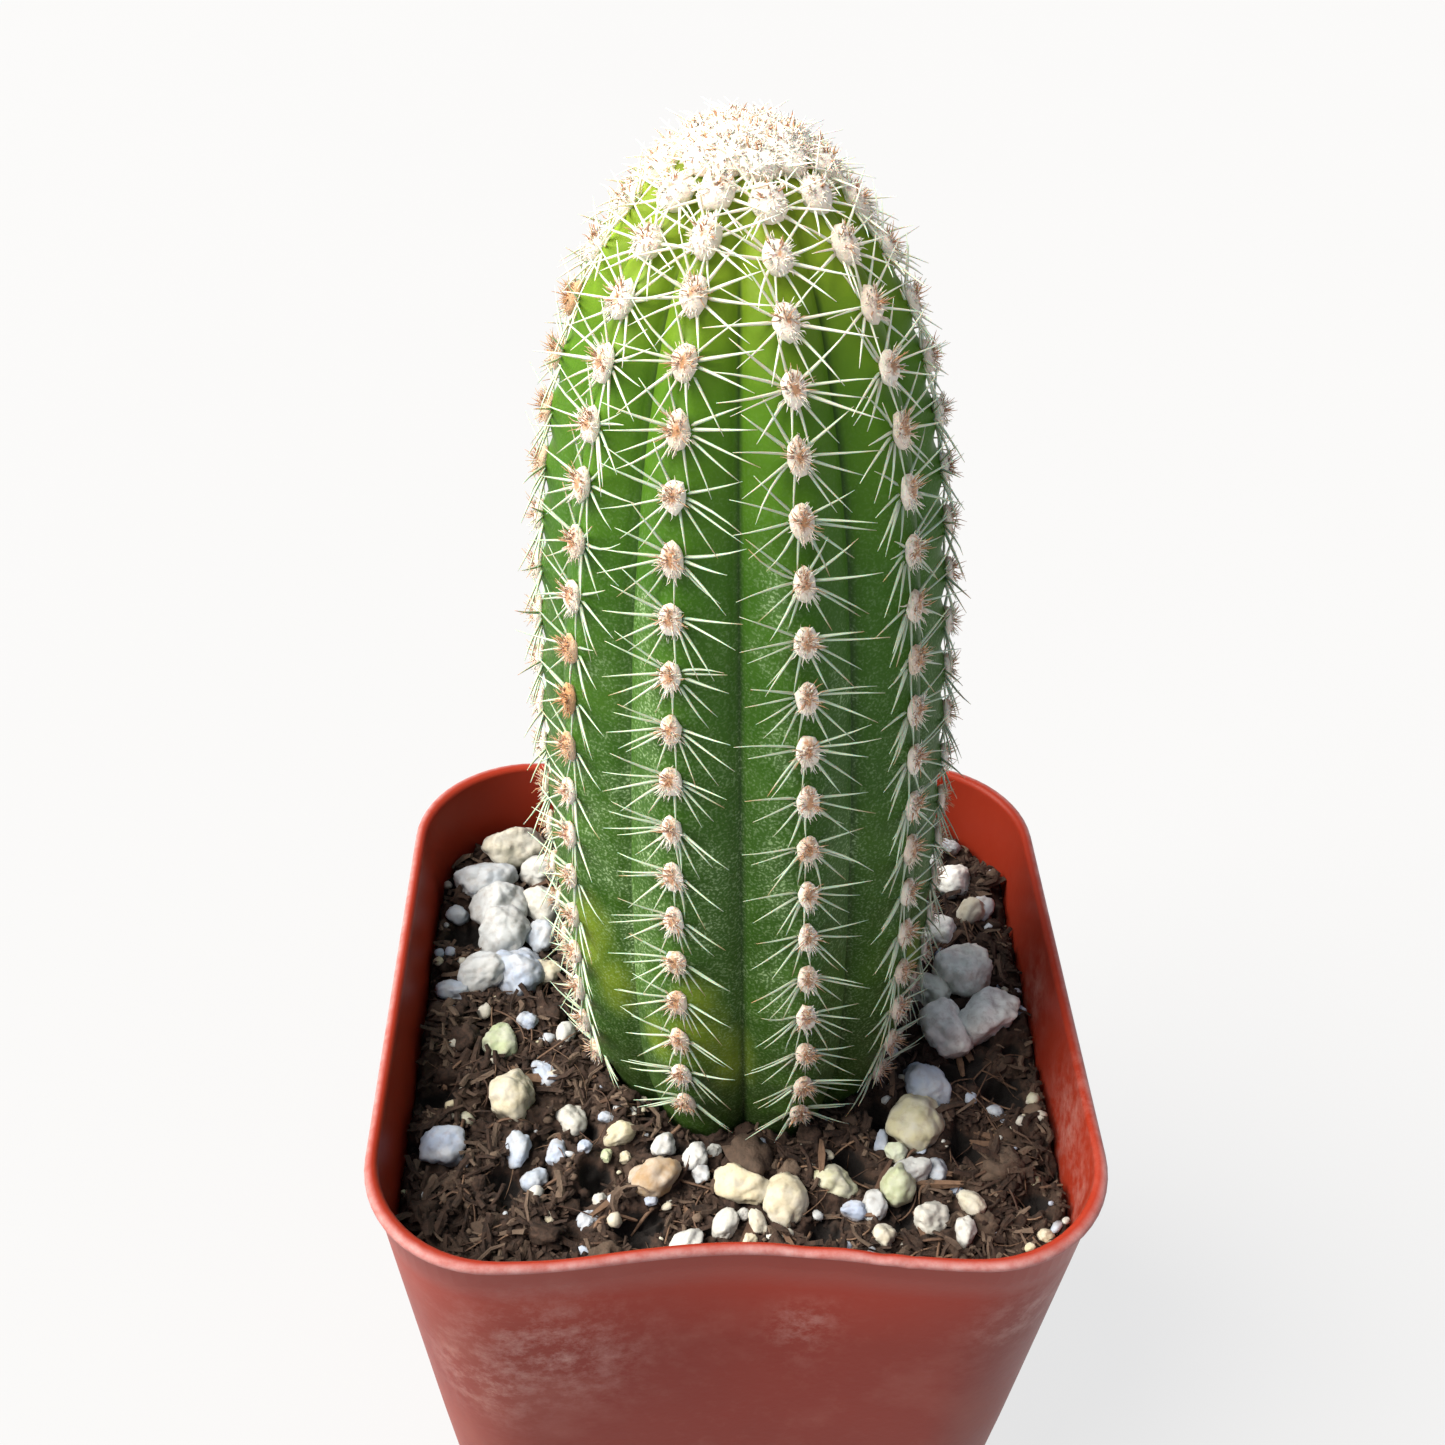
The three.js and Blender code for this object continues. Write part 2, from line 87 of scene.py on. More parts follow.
# Pot: a thin square tub that widens upwards to a slim rounded lip
POT_LOW, POT_HIGH = (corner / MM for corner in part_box("pot"))
RIM_WIDTH = POT_HIGH.x - POT_LOW.x
POT_HEIGHT = POT_HIGH.z
RIM_CORNER = 9.1
WALL = 0.62
FLOOR = 1.2
FOOT_ROUND = 1.5
FLOOR_FILLET = 1
TIGHTEST_CORNER = 0.36
LIP_OVERHANG = 0.34
LIP_WIDTH = LIP_OVERHANG + WALL
# Round the lip's section, in degrees, from the neck outside to the top of the wall inside
LIP_FROM = -35
LIP_TO = 180
LIP_STEPS = 14
LIP_NECK = 2.2
TAPER = 0.089
FRONT_BOW = 1.6
WALL_RING = 30
WALL_STEPS = 12
ROUND_STEPS = 4
DRAIN_DIAMETER = 4.4
DRAIN_STEPS = 32
DRAIN_FROM_CENTRE = 14
SIDE_STEPS = 24
CORNER_STEPS = 14
QUARTER_STEPS = 2 * SIDE_STEPS + CORNER_STEPS
# Moulding marks on the front of the lip: place along X, half length and how far the lip sinks
LIP_MARKS = [(4.6, 1.7, 0.22), (7.6, 0.8, -0.1), (10.1, 0.5, 0.2), (12.3, 0.22, 0.35), (-13, 3, 0.12)]
# Lime scuffs on the pot: x, y, z and reach
SCUFFS = [
    (-15, -25, 44, 7), (26.5, -12, 53, 5), (26.5, -19, 52, 4), (-20, -25, 38, 5), (22, -25, 47, 4),
    (26, 3, 51, 4), (5, -26, 45.5, 2.6),
]
# How fast the lip's wear and painted highlight fade away from its edge, and how much of the outside's dust
# and painted shade the inside gets
LIP_WEAR_AND_HIGHLIGHT_FADE = 1.7
DUST_AND_SHADE_INSIDE = 0.35
LIP_WAVE = 0.09
LIP_WAVE_LENGTH = 7

# Potting mix: its top lies a little below the rim and is lumpy
MIX_TOP = 50
MIX_EDGE = 1.2
LUMP_HEIGHT = 0.45
BED_STEPS = 290
BED_SINK = 0.55
# At the wall the top slopes down by this share of MIX_EDGE, over this many half steps of the grid
EDGE_SLOPE = 0.7
EDGE_STEPS = 6
WELL_FLOOR = 40.6
WELL_GAP = 0.1
# Strands and crumbs in the bed itself: width and height of each kind
PEAT_RIDGES = [(3.4, 2), (1.6, 1.2), (0.75, 0.55), (0.38, 0.22)]
RIDGE_CREST = 0.3
# Depth scale of the painted shade in the mix's hollows
HOLLOW_DEPTH = 0.9
# Gaps between clumps: how deep they are, and the share of them that stays bare
GAP_DEPTH = 0.15
GAP_KEPT = 0.9
# Holes between the clods, painted black by the shade painted in the hollows: x, y and reach
HOLES = [
    (20.3, -3.7, 2), (23.2, -6.4, 1.7), (24.5, -1.6, 0.9), (19.4, -12, 1.6), (24.1, -17.4, 1.1),
    (9.5, -13.4, 1.2), (12.2, -8.8, 1.4), (6.6, -20.2, 0.9),
    (-24, 12.1, 1.6), (-24.2, -6.8, 1.5), (-18.4, -15.4, 1.3), (-11.4, -14.8, 1.2), (-8, -20, 1.5),
    (-3, 17.6, 1.6), (14, 18.2, 1.4),
]
HOLE_DEPTH = 1.6
HOLE_STEEPNESS = 4
PEAT_TWIST = (1.7, 0.8)
PEAT_TWIST_LAYERS = (3.7, 9.1, 14.3)

# Perlite grains on the mix: x, y, length, width, heading in degrees and tint, which runs from
# bluish grey, which is painted shade, past 0.35 for dull white, 0.6 for cream, 0.8 for pale green
# and 0.9 for clean white to 1 for tan; the clean white of the grains in the stem's shadow is painted light
GRAINS = [
    (-19.7, 22.6, 5.8, 4.6, 12, 0.48), (-22.6, 18.2, 5.4, 3.8, 15, 0.25), (-20.9, 14.9, 5, 4.6, -60, 0.3),
    (-20.4, 11.6, 5, 4.4, -79, 0.3), (-16.9, 15.5, 4.4, 3.8, -70, 0.4), (-17.4, 19.6, 3.4, 3, 0, 0.35),
    (-16.8, 11.4, 3.4, 2.8, 30, 0.2), (-18.6, 7.2, 4.8, 4.2, -72, 0.12), (-22, 6.6, 4.4, 3.2, 21, 0.28),
    (-24.3, 5, 2.8, 2.2, 0, 0.12), (-24.9, 14.6, 2.2, 1.8, 0, 0.2), (-16.2, 7.2, 2.8, 2.4, 0, 0.55),
    (-17.6, 1, 1.7, 1.6, 0, 0.1), (-19.7, -1.2, 3.4, 2.7, 86, 0.8), (-14.2, -0.4, 2.1, 1.6, 85, 0.35),
    (-16, -3.8, 3, 1.5, -64, 0.12), (-18.3, -7.6, 4.7, 4.2, 86, 0.55), (-13.3, -9.1, 2.9, 2.2, -76, 0.4),
    (-23.4, -12.5, 3.6, 3.2, 0, 0.05), (-17.4, -12.3, 3.3, 2.1, 90, 0.15), (-14.4, -12.6, 2.1, 1.6, 76, 0.1),
    (-16, -15, 2.2, 2, 67, 0.15), (-12.1, -12.8, 1.1, 1.1, 0, 0.05), (-9.4, -11, 2.9, 2, 42, 0.62),
    (-8.8, -12.9, 1, 1, 0, 0.55), (-10.7, -17.3, 1.3, 1.1, 35, 0.4), (-11.8, -19.1, 2, 1.6, 56, 0.15),
    (-10.4, -9.3, 1.2, 1, 0, 0.1), (-10.3, -13.2, 1.2, 0.9, 75, 0.8), (-5.6, -12.3, 2.6, 1.9, 82, 0.33),
    (-3, -13.4, 2.4, 2, 73, 0.33), (-2.7, -15, 1.9, 1.4, -83, 0.25), (-1.6, -12.4, 1.2, 1.1, 0, 0.35),
    (-6.3, -15.6, 3.8, 3.3, 20, 1), (2.2, -12.2, 1.2, 1.1, 0, 0.1), (-6.7, -17.6, 1.2, 1, 0, 0.02),
    (0.8, -16.4, 4.4, 3.3, -18, 0.58),
    (4, -17.7, 4.1, 3.1, 70, 0.56), (-0.8, -20.1, 2.5, 1.8, 76, 0.38), (0.6, -19, 0.9, 0.9, 0, 0.35),
    (1.7, -19.8, 2.1, 1.2, -66, 0.5), (1, -21.2, 1.4, 1.1, 79, 0.6), (-3.9, -21.9, 2.9, 2.2, 34, 0.35),
    (8.1, -15.9, 3.1, 2.6, -13, 0.7), (9.5, -18.5, 2, 1.7, 0, 0.05), (11, -18.1, 2.5, 1.9, 77, 0.3),
    (15, -10.4, 4.4, 4.2, 76, 0.66), (16.4, -6.5, 4, 3.6, -61, 0.15), (15.8, -4.4, 2, 1.9, 0, 0.1),
    (12.2, -11.6, 2, 1.1, 77, 0.1), (13.2, -13.3, 1.6, 1.5, 0, 0.82), (13.1, -16.3, 3.3, 2.5, 76, 0.78),
    (14.4, -15, 2.8, 2.3, 23, 0.33), (16.6, -14.4, 2.6, 1.9, -80, 0.2), (15.3, -12.6, 1.3, 0.9, 76, 0.1),
    (15.4, -19.2, 2.8, 2.4, 22, 0.4), (18.7, -18.1, 2.4, 1.7, -49, 0.5), (17.8, -21, 2.3, 1.5, -89, 0.36),
    (11.6, -21.1, 2.1, 1.8, 59, 0.5), (17.9, -16.3, 1, 0.9, 0, 0.02), (20.2, -7.3, 1.1, 1, 0, 0.1),
    # The grains of tint 0.86 to 0.9 from here on lie in the stem's shadow; their clean white is painted light
    (24.1, -21.2, 1.3, 1.1, 0, 0.6), (21.9, 19.4, 4, 3.6, 26, 0.9), (22.1, 23.4, 2.1, 1.5, 0, 0.2),
    (20.2, 21.4, 1.9, 1.7, 0, 0.25), (24.2, 15.1, 2.6, 2.1, 68, 0.25),
    (19.7, 12, 3.4, 3, 0, 0.9), (23, 14.4, 2.8, 2.5, 0, 0.5), (21.3, 6.6, 5.4, 4.8, 53, 0.88),
    (18.2, 4.6, 3.6, 3.2, 76, 0.86), (22.7, 1.2, 5.6, 4.4, 39, 0.9), (18.7, 0, 5.2, 4.6, -68, 0.89),
    (16.4, 9.2, 2.4, 2, 0, 0.3), (2, 22.2, 3.2, 2.6, 20, 0.4),
    (-8, 21.4, 3.8, 3, -30, 0.4), (10, 20.6, 2.8, 2.3, 60, 0.3), (-3.5, 19.6, 2.2, 1.8, 10, 0.2),
]
GRAIN_RISE = 0.45
GRAIN_SINK = 0.3
# How far peat keeps off a grain
GRAIN_MARGIN = 0.3
GRAIN_FLATNESS = 0.85
# A grain is a ball cut by this many blunt facets at these depths; its tilt is in degrees, and its
# bumps and those of the lumps and pads below are given as fineness and height
GRAIN_FACETS = 11
FACET_DEPTH = (0.62, 0.95)
FACET_SHARPNESS = 12
GRAIN_TILT = 18
GRAIN_BUMPS = [(2.2, 0.12), (5.5, 0.072)]
GRAIN_SWELL = 1.2
# How soiled the underside of a grain is at most
DEEPEST_STAIN = 0.8
# Fine perlite: count, sizes and highest tint
STREWN_GRAINS = 210
STREWN_SIZE = (0.4, 1.5)
STREWN_TINT = 0.7

# Peat crumbs, from fine to coarse: name, sphere subdivisions, count, smallest and largest size
PEAT_SIZES = [("peat_crumbs", 1, 1900, 0.3, 1), ("peat_lumps", 2, 260, 0.9, 2), ("peat_clods", 3, 34, 2, 3.4)]
# Clods that show in the photograph: x, y and size
CLODS = [(1.4, -13.7, 4.2), (21.6, -15.2, 3.4), (-19.5, -19.6, 3), (19.7, -19.9, 2.4)]
CLOD_TINT = 0.75
# Shares of a lump's size: its width and thickness, how far its middle stands above the bed, how
# far it keeps off the pot and the stem, and how far off holes and grains; its tilt is in radians
LUMP_WIDTH = (0.55, 0.95)
LUMP_THICKNESS = (0.45, 0.8)
LUMP_RISE = 0.12
LUMP_REACH = 0.55
LUMP_SPREAD = 0.3
LUMP_TILT = 0.6
LUMP_BUMPS = [(1.7, 0.5), (4.1, 0.4), (9, 0.2)]
# Shreds of peat: how many, their length, half width, flatness, rise above the bed and raggedness,
# and as shares of length how far an end tips up, how they bend and how far they keep off things
SHREDS = 2900
SHRED_LENGTH = (0.7, 3.2)
SHRED_WIDTH = (0.12, 0.42)
SHRED_FLATNESS = 0.45
SHRED_RISE = 0.15
SHRED_RAGGED = 0.35
SHRED_TIP = 0.5
SHRED_BEND = 0.2
SHRED_REACH = 0.4
SHRED_SPREAD = 0.25
# Root fibres: hump and end are how far their middle and their ends stand above the bed
FIBRES = 420
FIBRE_LENGTH = (1.8, 7)
FIBRE_RADIUS = (0.05, 0.2)
FIBRE_HUMP = (0.25, 0.95)
FIBRE_END = (-0.3, 0.6)
FIBRE_CURL = 0.3
# Slivers of bark: half width and half thickness are shares of their length, and the tilt is in radians
SLIVERS = 46
SLIVER_LENGTH = (1.6, 5)
SLIVER_WIDTH = (0.06, 0.13)
SLIVER_THICKNESS = (0.03, 0.07)
SLIVER_TILT = 0.3
SLIVER_RISE = 0.35
SLIVER_TAPER = 0.35
SLIVER_RAGGED = 0.16

# Stem: a cactus column whose outline is given as crest radius and height
STEM_OUTLINE = [
    (0, 41), (7.2, 41.9), (10.9, 45), (12.3, 49), (13.7, 54), (14.7, 59.5), (15.05, 69),
    (14.9, 83), (14.3, 95), (13.5, 104), (12.2, 112), (10.1, 119), (7.9, 123), (5, 126.6),
    (2.2, 128.6), (0, 129),
]
OUTLINE_STEPS = 60
STEM_FOOT = (1.05, 1.75)
STEM_LEAN = -0.033
RIBS = 10
RIB_PHASE = -3
RIB_COLUMNS = 18
RING_STEP = 0.4
# Skin this near either end of the outline is drawn plain
END_REACH = 1e-3
FURROW = 1.25
FURROW_FULL_RADIUS = 11
CREASE = 0.3
CREASE_WIDTH = 0.35
AREOLE_SPACING = 4.3
CROWN_FIRST_AREOLE = 3
LAST_AREOLE_ABOVE_MIX = 2.2
CROWN_CROWDING = 0.42
CROWDED_AREOLES = 1.7
PAD_HEIGHT = 0.45
PAD_DIP = 0.15
PAD_SPREAD = 1.5
SKIN_UNEVEN = 0.12
SKIN_UNEVEN_LENGTH = 5
# How far each rib swings round the stem, in degrees over SWAY_SPAN below mid height, and how
# far its areoles are shifted up; rib 0 is at the back left and the numbers run anticlockwise
RIB_SWAY = [1, -2, -4, -5, 0.5, 1.5, 0.5, 1, -1, 2]
RIB_SHIFT = [1.1, -0.9, 0.7, -0.4, 1.3, 0, -0.4, 1.2, -1.3, 0.5]
SWAY_SPAN = 30
MID_HEIGHT = 87
SHIFT_FADE_CROWN = 12
SHIFT_FADE_FOOT = 10

# Colour of the skin: where it flushes yellow green and where scurf clouds it, as rib, height,
# reach across in ribs and reach along in mm
FLUSHES = [
    (4.14, 64, 0.26, 4), (4.4, 60.5, 0.22, 4), (4.14, 68, 0.18, 3), (3.17, 69.5, 0.2, 4.5),
    (3.36, 65, 0.18, 3.5), (3.8, 62, 0.15, 2.5), (8, 66, 0.3, 4), (0.6, 62, 0.3, 4), (6.6, 61, 0.3, 3),
]
SCURFS = [
    (3.76, 92, 0.12, 5), (3.78, 81, 0.12, 5), (3.55, 72, 0.2, 6), (4.8, 90, 0.1, 5), (4.8, 80, 0.1, 5),
    (4.78, 70, 0.1, 4), (3.3, 84, 0.16, 6), (4.78, 103, 0.1, 4),
    (3.67, 98.2, 0.12, 2.5), (3.78, 95, 0.1, 2), (4.22, 80.7, 0.14, 3), (4.17, 75.2, 0.12, 3),
    (4.67, 99.3, 0.1, 2), (5.4, 96.6, 0.15, 2.5), (5.4, 82.8, 0.15, 3), (3.66, 102.4, 0.1, 2.5),
    (3.82, 84.8, 0.12, 3), (3.26, 93.7, 0.1, 2), (3.42, 77, 0.14, 3), (3.69, 87.8, 0.14, 3),
    (1.6, 84, 0.2, 5), (8.4, 91, 0.2, 5), (7.5, 74, 0.2, 6), (0.5, 70, 0.2, 5), (9.3, 79, 0.2, 6),
]

# Areole wool and spines; the apex has areoles of its own in a golden spiral
APEX_AREOLES = 18
APEX_DEPTH = 3
APEX_DOME = 0.16
APEX_PAD_HEIGHT = 0.1
FIRST_PAD_HEIGHT = 0.2
GOLDEN_ANGLE = math.radians(137.5)
# How many areoles down a rib are young, and how many belong to the crown
YOUNG_AREOLES = 9
CROWN_AREOLES = 4
# Half sizes of a pad: an old one's, and what youth and the crown add
PAD_WIDTH = (0.8, 0.06, 0.6)
PAD_TALLNESS = (1.27, -0.08, 0.25)
PAD_DEPTH = (0.45, 0.1, 0.4)
PAD_VARIETY = (0.92, 1.08)
PAD_BUMPS = [(2.3, 0.22)]
HAIRS = 54
BRISTLES = 15
CROWN_WHITENESS = 0.5
BRISTLE_LENGTH = (0.55, 1.15)
HAIR_LENGTH = (0.35, 0.8)
HAIR_RADIUS = 0.045
HAIR_TIP = 0.012
# How far out on its pad a hair starts, how unevenly it leans and how far it sags
HAIR_ROOT = 0.9
HAIR_STRAY = 0.35
HAIR_SAG = 0.15
# Resin-stained areoles: rib, first and last number down the rib
STAINED = [(3, 9, 11), (2, 4, 7), (8, 6, 7), (0, 10, 12)]
SPINE_SPREAD = 0.4
SPINE_SINK = 0.35
SPINE_TIP = 0.018
# How far spines stand up from the skin in degrees, what the crown adds to it, and how many of the
# first areoles down a rib have crown spines
SPINE_RAISE = (4, 24)
CROWN_RAISE = 9
CROWN_SPINE_AREOLES = 3
# Spines at the apex are shorter, and a crown areole has this many more in its middle
APEX_SPINE = 0.4
CROWN_TUFT = 1
TUFT_RAISE = (10, 50)
TUFT_LENGTH = (0.6, 1.4)
# Areoles grow old from one number down the rib to another
OLD_FROM = 3
OLD_TO = 12
# How far each rib's old fans are turned anticlockwise, in degrees, and the range of their
# spines above straight down on each side
RIB_FAN = [0, 5, -8, -14, -9, 14, 12, 0, -5, 6]
FAN_LOWEST = -84
FAN_HIGHEST = (88, 26)
CRAMPED_SPINE = 0.85
SPINE_HEADROOM = 0.15
MIX_CLEARANCE = 0.5

# Camera, worked out from the square lip's outline in the 1445 pixel square photograph
CAMERA_PLACE = Vector((-6.462, -105.347, 169.164))
CAMERA_RIGHT = Vector((0.99931, -0.02541, 0.02700))
CAMERA_UP = Vector((-0.00517, 0.62558, 0.78013))
CAMERA_LENS = 44.9
SENSOR = 36
FLOOR_RADIUS = 3000
# Where the key light comes from: the left, a little to the front and about 49 degrees up
KEY_FROM = (-1, -0.12, 1.15)

# Inputs of a Mix node in colour mode
MIX_FACTOR, MIX_A, MIX_B = 0, 6, 7


def linear(colour):
    """An sRGB hex colour as linear red, green and blue, with full alpha."""
    channels = [(colour >> shift & 0xFF) / 255 for shift in (16, 8, 0)]
    return (*(c / 12.92 if c <= 0.04045 else ((c + 0.055) / 1.055) ** 2.4 for c in channels), 1.0)


def length_setting(name, description, millimetres):
    """A length that a user can change."""
    return bpy.props.FloatProperty(
        name=name, description=description, default=millimetres * MM, min=0, unit="LENGTH", precision=4
    )


def colour_setting(name, description, colour):
    """A colour that a user can change."""
    return bpy.props.FloatVectorProperty(
        name=name, description=description, default=linear(colour), size=4, min=0, max=1, subtype="COLOR"
    )


class PotSettings(bpy.types.PropertyGroup):
    """Size and colours of the nursery pot"""

    wall: length_setting("Wall", "Thickness of the moulded wall", WALL)
    bow: length_setting("Front bow", "How far the front of the lip is pressed in", FRONT_BOW)
    plastic: colour_setting("Plastic", "The moulded plastic where it is clean", 0x96321F)
    dust: colour_setting("Dust", "Dried dust and water marks on it", 0x9C6E64)


class MixSettings(bpy.types.PropertyGroup):
    """Grain and colours of the potting mix"""

    strewn: bpy.props.IntProperty(
        name="Fine perlite", description="How many fine perlite grains", default=STREWN_GRAINS, min=0
    )
    peat: colour_setting("Peat", "Moist peat", 0x3E2C22)
    # The dark peat colour goes into the fine grain; the near black in the hollows is painted shade
    dark_peat: colour_setting("Dark peat", "Wet peat in the hollows", 0x150D08)
    fibre: colour_setting("Fibre", "Root fibres and bark", 0x7C614B)
    perlite: colour_setting("Perlite", "Clean expanded perlite", 0xA9A9A6)


class StemSettings(bpy.types.PropertyGroup):
    """Shape and colours of the stem"""

    furrow: length_setting("Furrow", "Depth of the furrows between the ribs", FURROW)
    green: colour_setting("Green", "The skin at mid height", 0x2F5211)
    young: colour_setting("Young green", "Pale flushes on the skin", 0x7E9222)
    # The deep green is painted shade along the bottom of the furrows
    shade: colour_setting("Deep green", "The skin in the furrows", 0x243F14)


class SpineSettings(bpy.types.PropertyGroup):
    """Sizes and colours of the areoles and spines"""

    fan: bpy.props.IntProperty(name="Fan", description="Spines of a full areole", default=13, min=1)
    longest: length_setting("Longest", "Length of the longest spines", 5.6)
    shortest: length_setting("Shortest", "Length of the shortest spines", 2.5)
    thickness: length_setting("Thickness", "Thickness of a spine near its root", 0.24)
    horn: colour_setting("Horn", "A spine along most of its length", 0xBCCBB6)
    tip: colour_setting("Tip", "The tip of a spine", 0xA8824E)
    wool: colour_setting("Wool", "Felt round an areole", 0xF0E6D8)
    bristle: colour_setting("Bristle", "Tan felt in the middle of an areole", 0xB88A66)


class StageSettings(bpy.types.PropertyGroup):
    """Floor and light of the studio"""

    floor: colour_setting("Floor", "Plain pale floor", 0x4E4E4E)
    backlight: bpy.props.FloatProperty(
        name="Backlight", description="How brightly the floor glows by itself", default=0.76, min=0
    )
    key: bpy.props.FloatProperty(
        name="Key", description="Strength of the soft light from the left", default=9.5
    )
    softness: bpy.props.FloatProperty(
        name="Softness", description="How wide the key light looks", default=math.radians(55), subtype="ANGLE"
    )
    sky: bpy.props.FloatProperty(name="Sky", description="Strength of the even light all round", default=0.42)


def outer_half(height):
    """Half width of the pot's outer wall faces at a height."""
    return RIM_WIDTH / 2 - LIP_OVERHANG - TAPER * (POT_HEIGHT - height)


def inner_half(height):
    """Half width between the pot's inner wall faces at a height."""
    return outer_half(height) - WALL


def front_press(x, reach, half, height):
    """How far the front wall is pressed in at a place along it."""
    if abs(x) >= reach:
        return 0
    bow = bpy.context.scene.cactus_pot.bow / MM
    deepest = bow * (height / POT_HEIGHT) ** 2 * half / outer_half(height)
    return deepest * math.cos(math.pi * x / (2 * reach)) ** 2


def tub_point(step, half, height):
    """Point number step round the pot's rounded square, from the middle of its +X side."""
    inset = outer_half(height) - half
    corner = min(max(RIM_CORNER - inset, TIGHTEST_CORNER * half), half)
    quarter, k = divmod(step, QUARTER_STEPS)
    bend = min(max(k - SIDE_STEPS, 0), CORNER_STEPS) / CORNER_STEPS * math.pi / 2
    straight = half - corner
    before = min(k / SIDE_STEPS, 1)
    after = min((QUARTER_STEPS - k) / SIDE_STEPS, 1)
    point = Vector((straight * after, straight * before))
    point += corner * Vector((math.cos(bend), math.sin(bend)))
    point.rotate(Matrix.Rotation(quarter * math.pi / 2, 2))
    if point.y < 0:
        point.y += front_press(point.x, straight, half, height)
    return point


def smooth_line(points, steps):
    """A smooth line through points, as a Catmull-Rom spline drawn by its Bezier handles."""
    ends = [points[0], *points, points[-1]]
    line = []
    for before, here, there, after in zip(ends, ends[1:], ends[2:], ends[3:]):
        handles = here + (there - before) / 6, there - (after - here) / 6
        line += interpolate_bezier(here, *handles, there, steps)[:-1]
    return line + [points[-1]]


# The stem's outline from its apex down, with the length of skin down to each point
OUTLINE = smooth_line([Vector(place) for place in reversed(STEM_OUTLINE)], OUTLINE_STEPS)
OUTLINE_DEPTHS = [0.0]
for upper, lower in zip(OUTLINE, OUTLINE[1:]):
    OUTLINE_DEPTHS.append(OUTLINE_DEPTHS[-1] + (lower - upper).length)
OUTLINE_LENGTH = OUTLINE_DEPTHS[-1]


def outline_at(depth):
    """Crest radius and height of the stem at a depth of skin below its apex."""
    k = min(max(bisect_left(OUTLINE_DEPTHS, depth), 1), len(OUTLINE) - 1)
    span = OUTLINE_DEPTHS[k] - OUTLINE_DEPTHS[k - 1]
    return OUTLINE[k - 1].lerp(OUTLINE[k], (depth - OUTLINE_DEPTHS[k - 1]) / span)


def depth_of_height(height):
    """Depth of skin below the apex at which the stem's outline has a height."""
    return next(depth for depth, place in zip(OUTLINE_DEPTHS, OUTLINE) if place.y <= height)


MIX_DEPTH = depth_of_height(MIX_TOP)


def areole_depths():
    """Depths of a rib's areoles: crowded at the crown, the last one just above the mix."""
    depths = [CROWN_FIRST_AREOLE]
    while depths[-1] < MIX_DEPTH - LAST_AREOLE_ABOVE_MIX:
        crowding = CROWN_CROWDING * math.exp((1 - len(depths)) / CROWDED_AREOLES)
        depths.append(depths[-1] + AREOLE_SPACING * (1 - crowding))
    return depths[:-1]


AREOLE_DEPTHS = areole_depths()


def stem_centre(height):
    """The middle of the stem at a height; it leans a little."""
    return Vector((STEM_FOOT[0] + STEM_LEAN * (height - POT_HEIGHT), STEM_FOOT[1], 0))


def rib_angle(rib, height):
    """Bearing of a rib's crest round the stem in degrees, from the front towards +X."""
    straight = RIB_PHASE + (rib - (RIBS - 1) / 2) * 360 / RIBS
    return straight + RIB_SWAY[rib % RIBS] * (MID_HEIGHT - height) / SWAY_SPAN


def stem_point(rib, depth, lift=0.0):
    """A point of the skin: rib is whole on a crest and a half in a furrow; lift stands out."""
    left = math.floor(rib)
    across = rib - left
    crown = min(depth / SHIFT_FADE_CROWN, 1)
    foot = min(max((MIX_DEPTH - depth) / SHIFT_FADE_FOOT + 0.6, 0), 1)
    shift = RIB_SHIFT[left % RIBS] * (1 - across) + RIB_SHIFT[(left + 1) % RIBS] * across
    place = outline_at(min(max(depth - shift * crown * foot, 0), OUTLINE_LENGTH))
    turn = rib_angle(left, place.y) * (1 - across) + rib_angle(left + 1, place.y) * across
    deep = bpy.context.scene.cactus_stem.furrow / MM * min(place.x / FURROW_FULL_RADIUS, 1)
    radius = max(place.x - deep * (1 - abs(math.cos(math.pi * across))) + lift, 0)
    angle = math.radians(turn)
    return stem_centre(place.y) + Vector((radius * math.sin(angle), -radius * math.cos(angle), place.y))


def skin_lift(rib, depth):
    """How far the skin stands out from plain ribs: a cushion under each areole, a crease between ribs."""
    crest = round(rib)
    width = 2 * math.pi * outline_at(depth).x / RIBS
    aside = (rib - crest) * width
    along = min(abs(depth - areole) for areole in AREOLE_DEPTHS)
    crestness = math.exp(-((aside / PAD_SPREAD) ** 2))
    cushion = (PAD_HEIGHT + PAD_DIP) * math.exp(-((along / PAD_SPREAD) ** 2)) - PAD_DIP
    from_furrow = width / 2 - abs(aside)
    crease = CREASE * math.exp(-((from_furrow / CREASE_WIDTH) ** 2)) * min(depth / SHIFT_FADE_CROWN, 1)
    place = stem_point(rib, depth)
    uneven = SKIN_UNEVEN * noise.noise(place / SKIN_UNEVEN_LENGTH) * min(depth / CROWN_FIRST_AREOLE, 1)
    return cushion * crestness * min(depth / CROWN_FIRST_AREOLE, 1) - crease + uneven


def mix_height(x, y):
    """Height of the mix's bare surface."""
    lumps = math.sin(0.75 * x + 1.3) * math.cos(0.65 * y) + 0.6 * math.sin(0.9 * x - 0.5 * y)
    return MIX_TOP + LUMP_HEIGHT * lumps


def peat_height(x, y):
    """Height of the mix's surface with its matted strands and crumbs."""
    place = Vector((x, y, 0))
    at = place / PEAT_TWIST[0]
    place += PEAT_TWIST[1] * Vector([noise.noise(at + Vector((0, 0, layer))) for layer in PEAT_TWIST_LAYERS])
    relief = sum(height * (RIDGE_CREST - abs(noise.noise(place / size))) for size, height in PEAT_RIDGES)
    nearest = min(math.hypot(x - there[0], y - there[1]) / there[2] for there in HOLES)
    return mix_height(x, y) - BED_SINK + relief - HOLE_DEPTH * math.exp(-(nearest**HOLE_STEEPNESS))


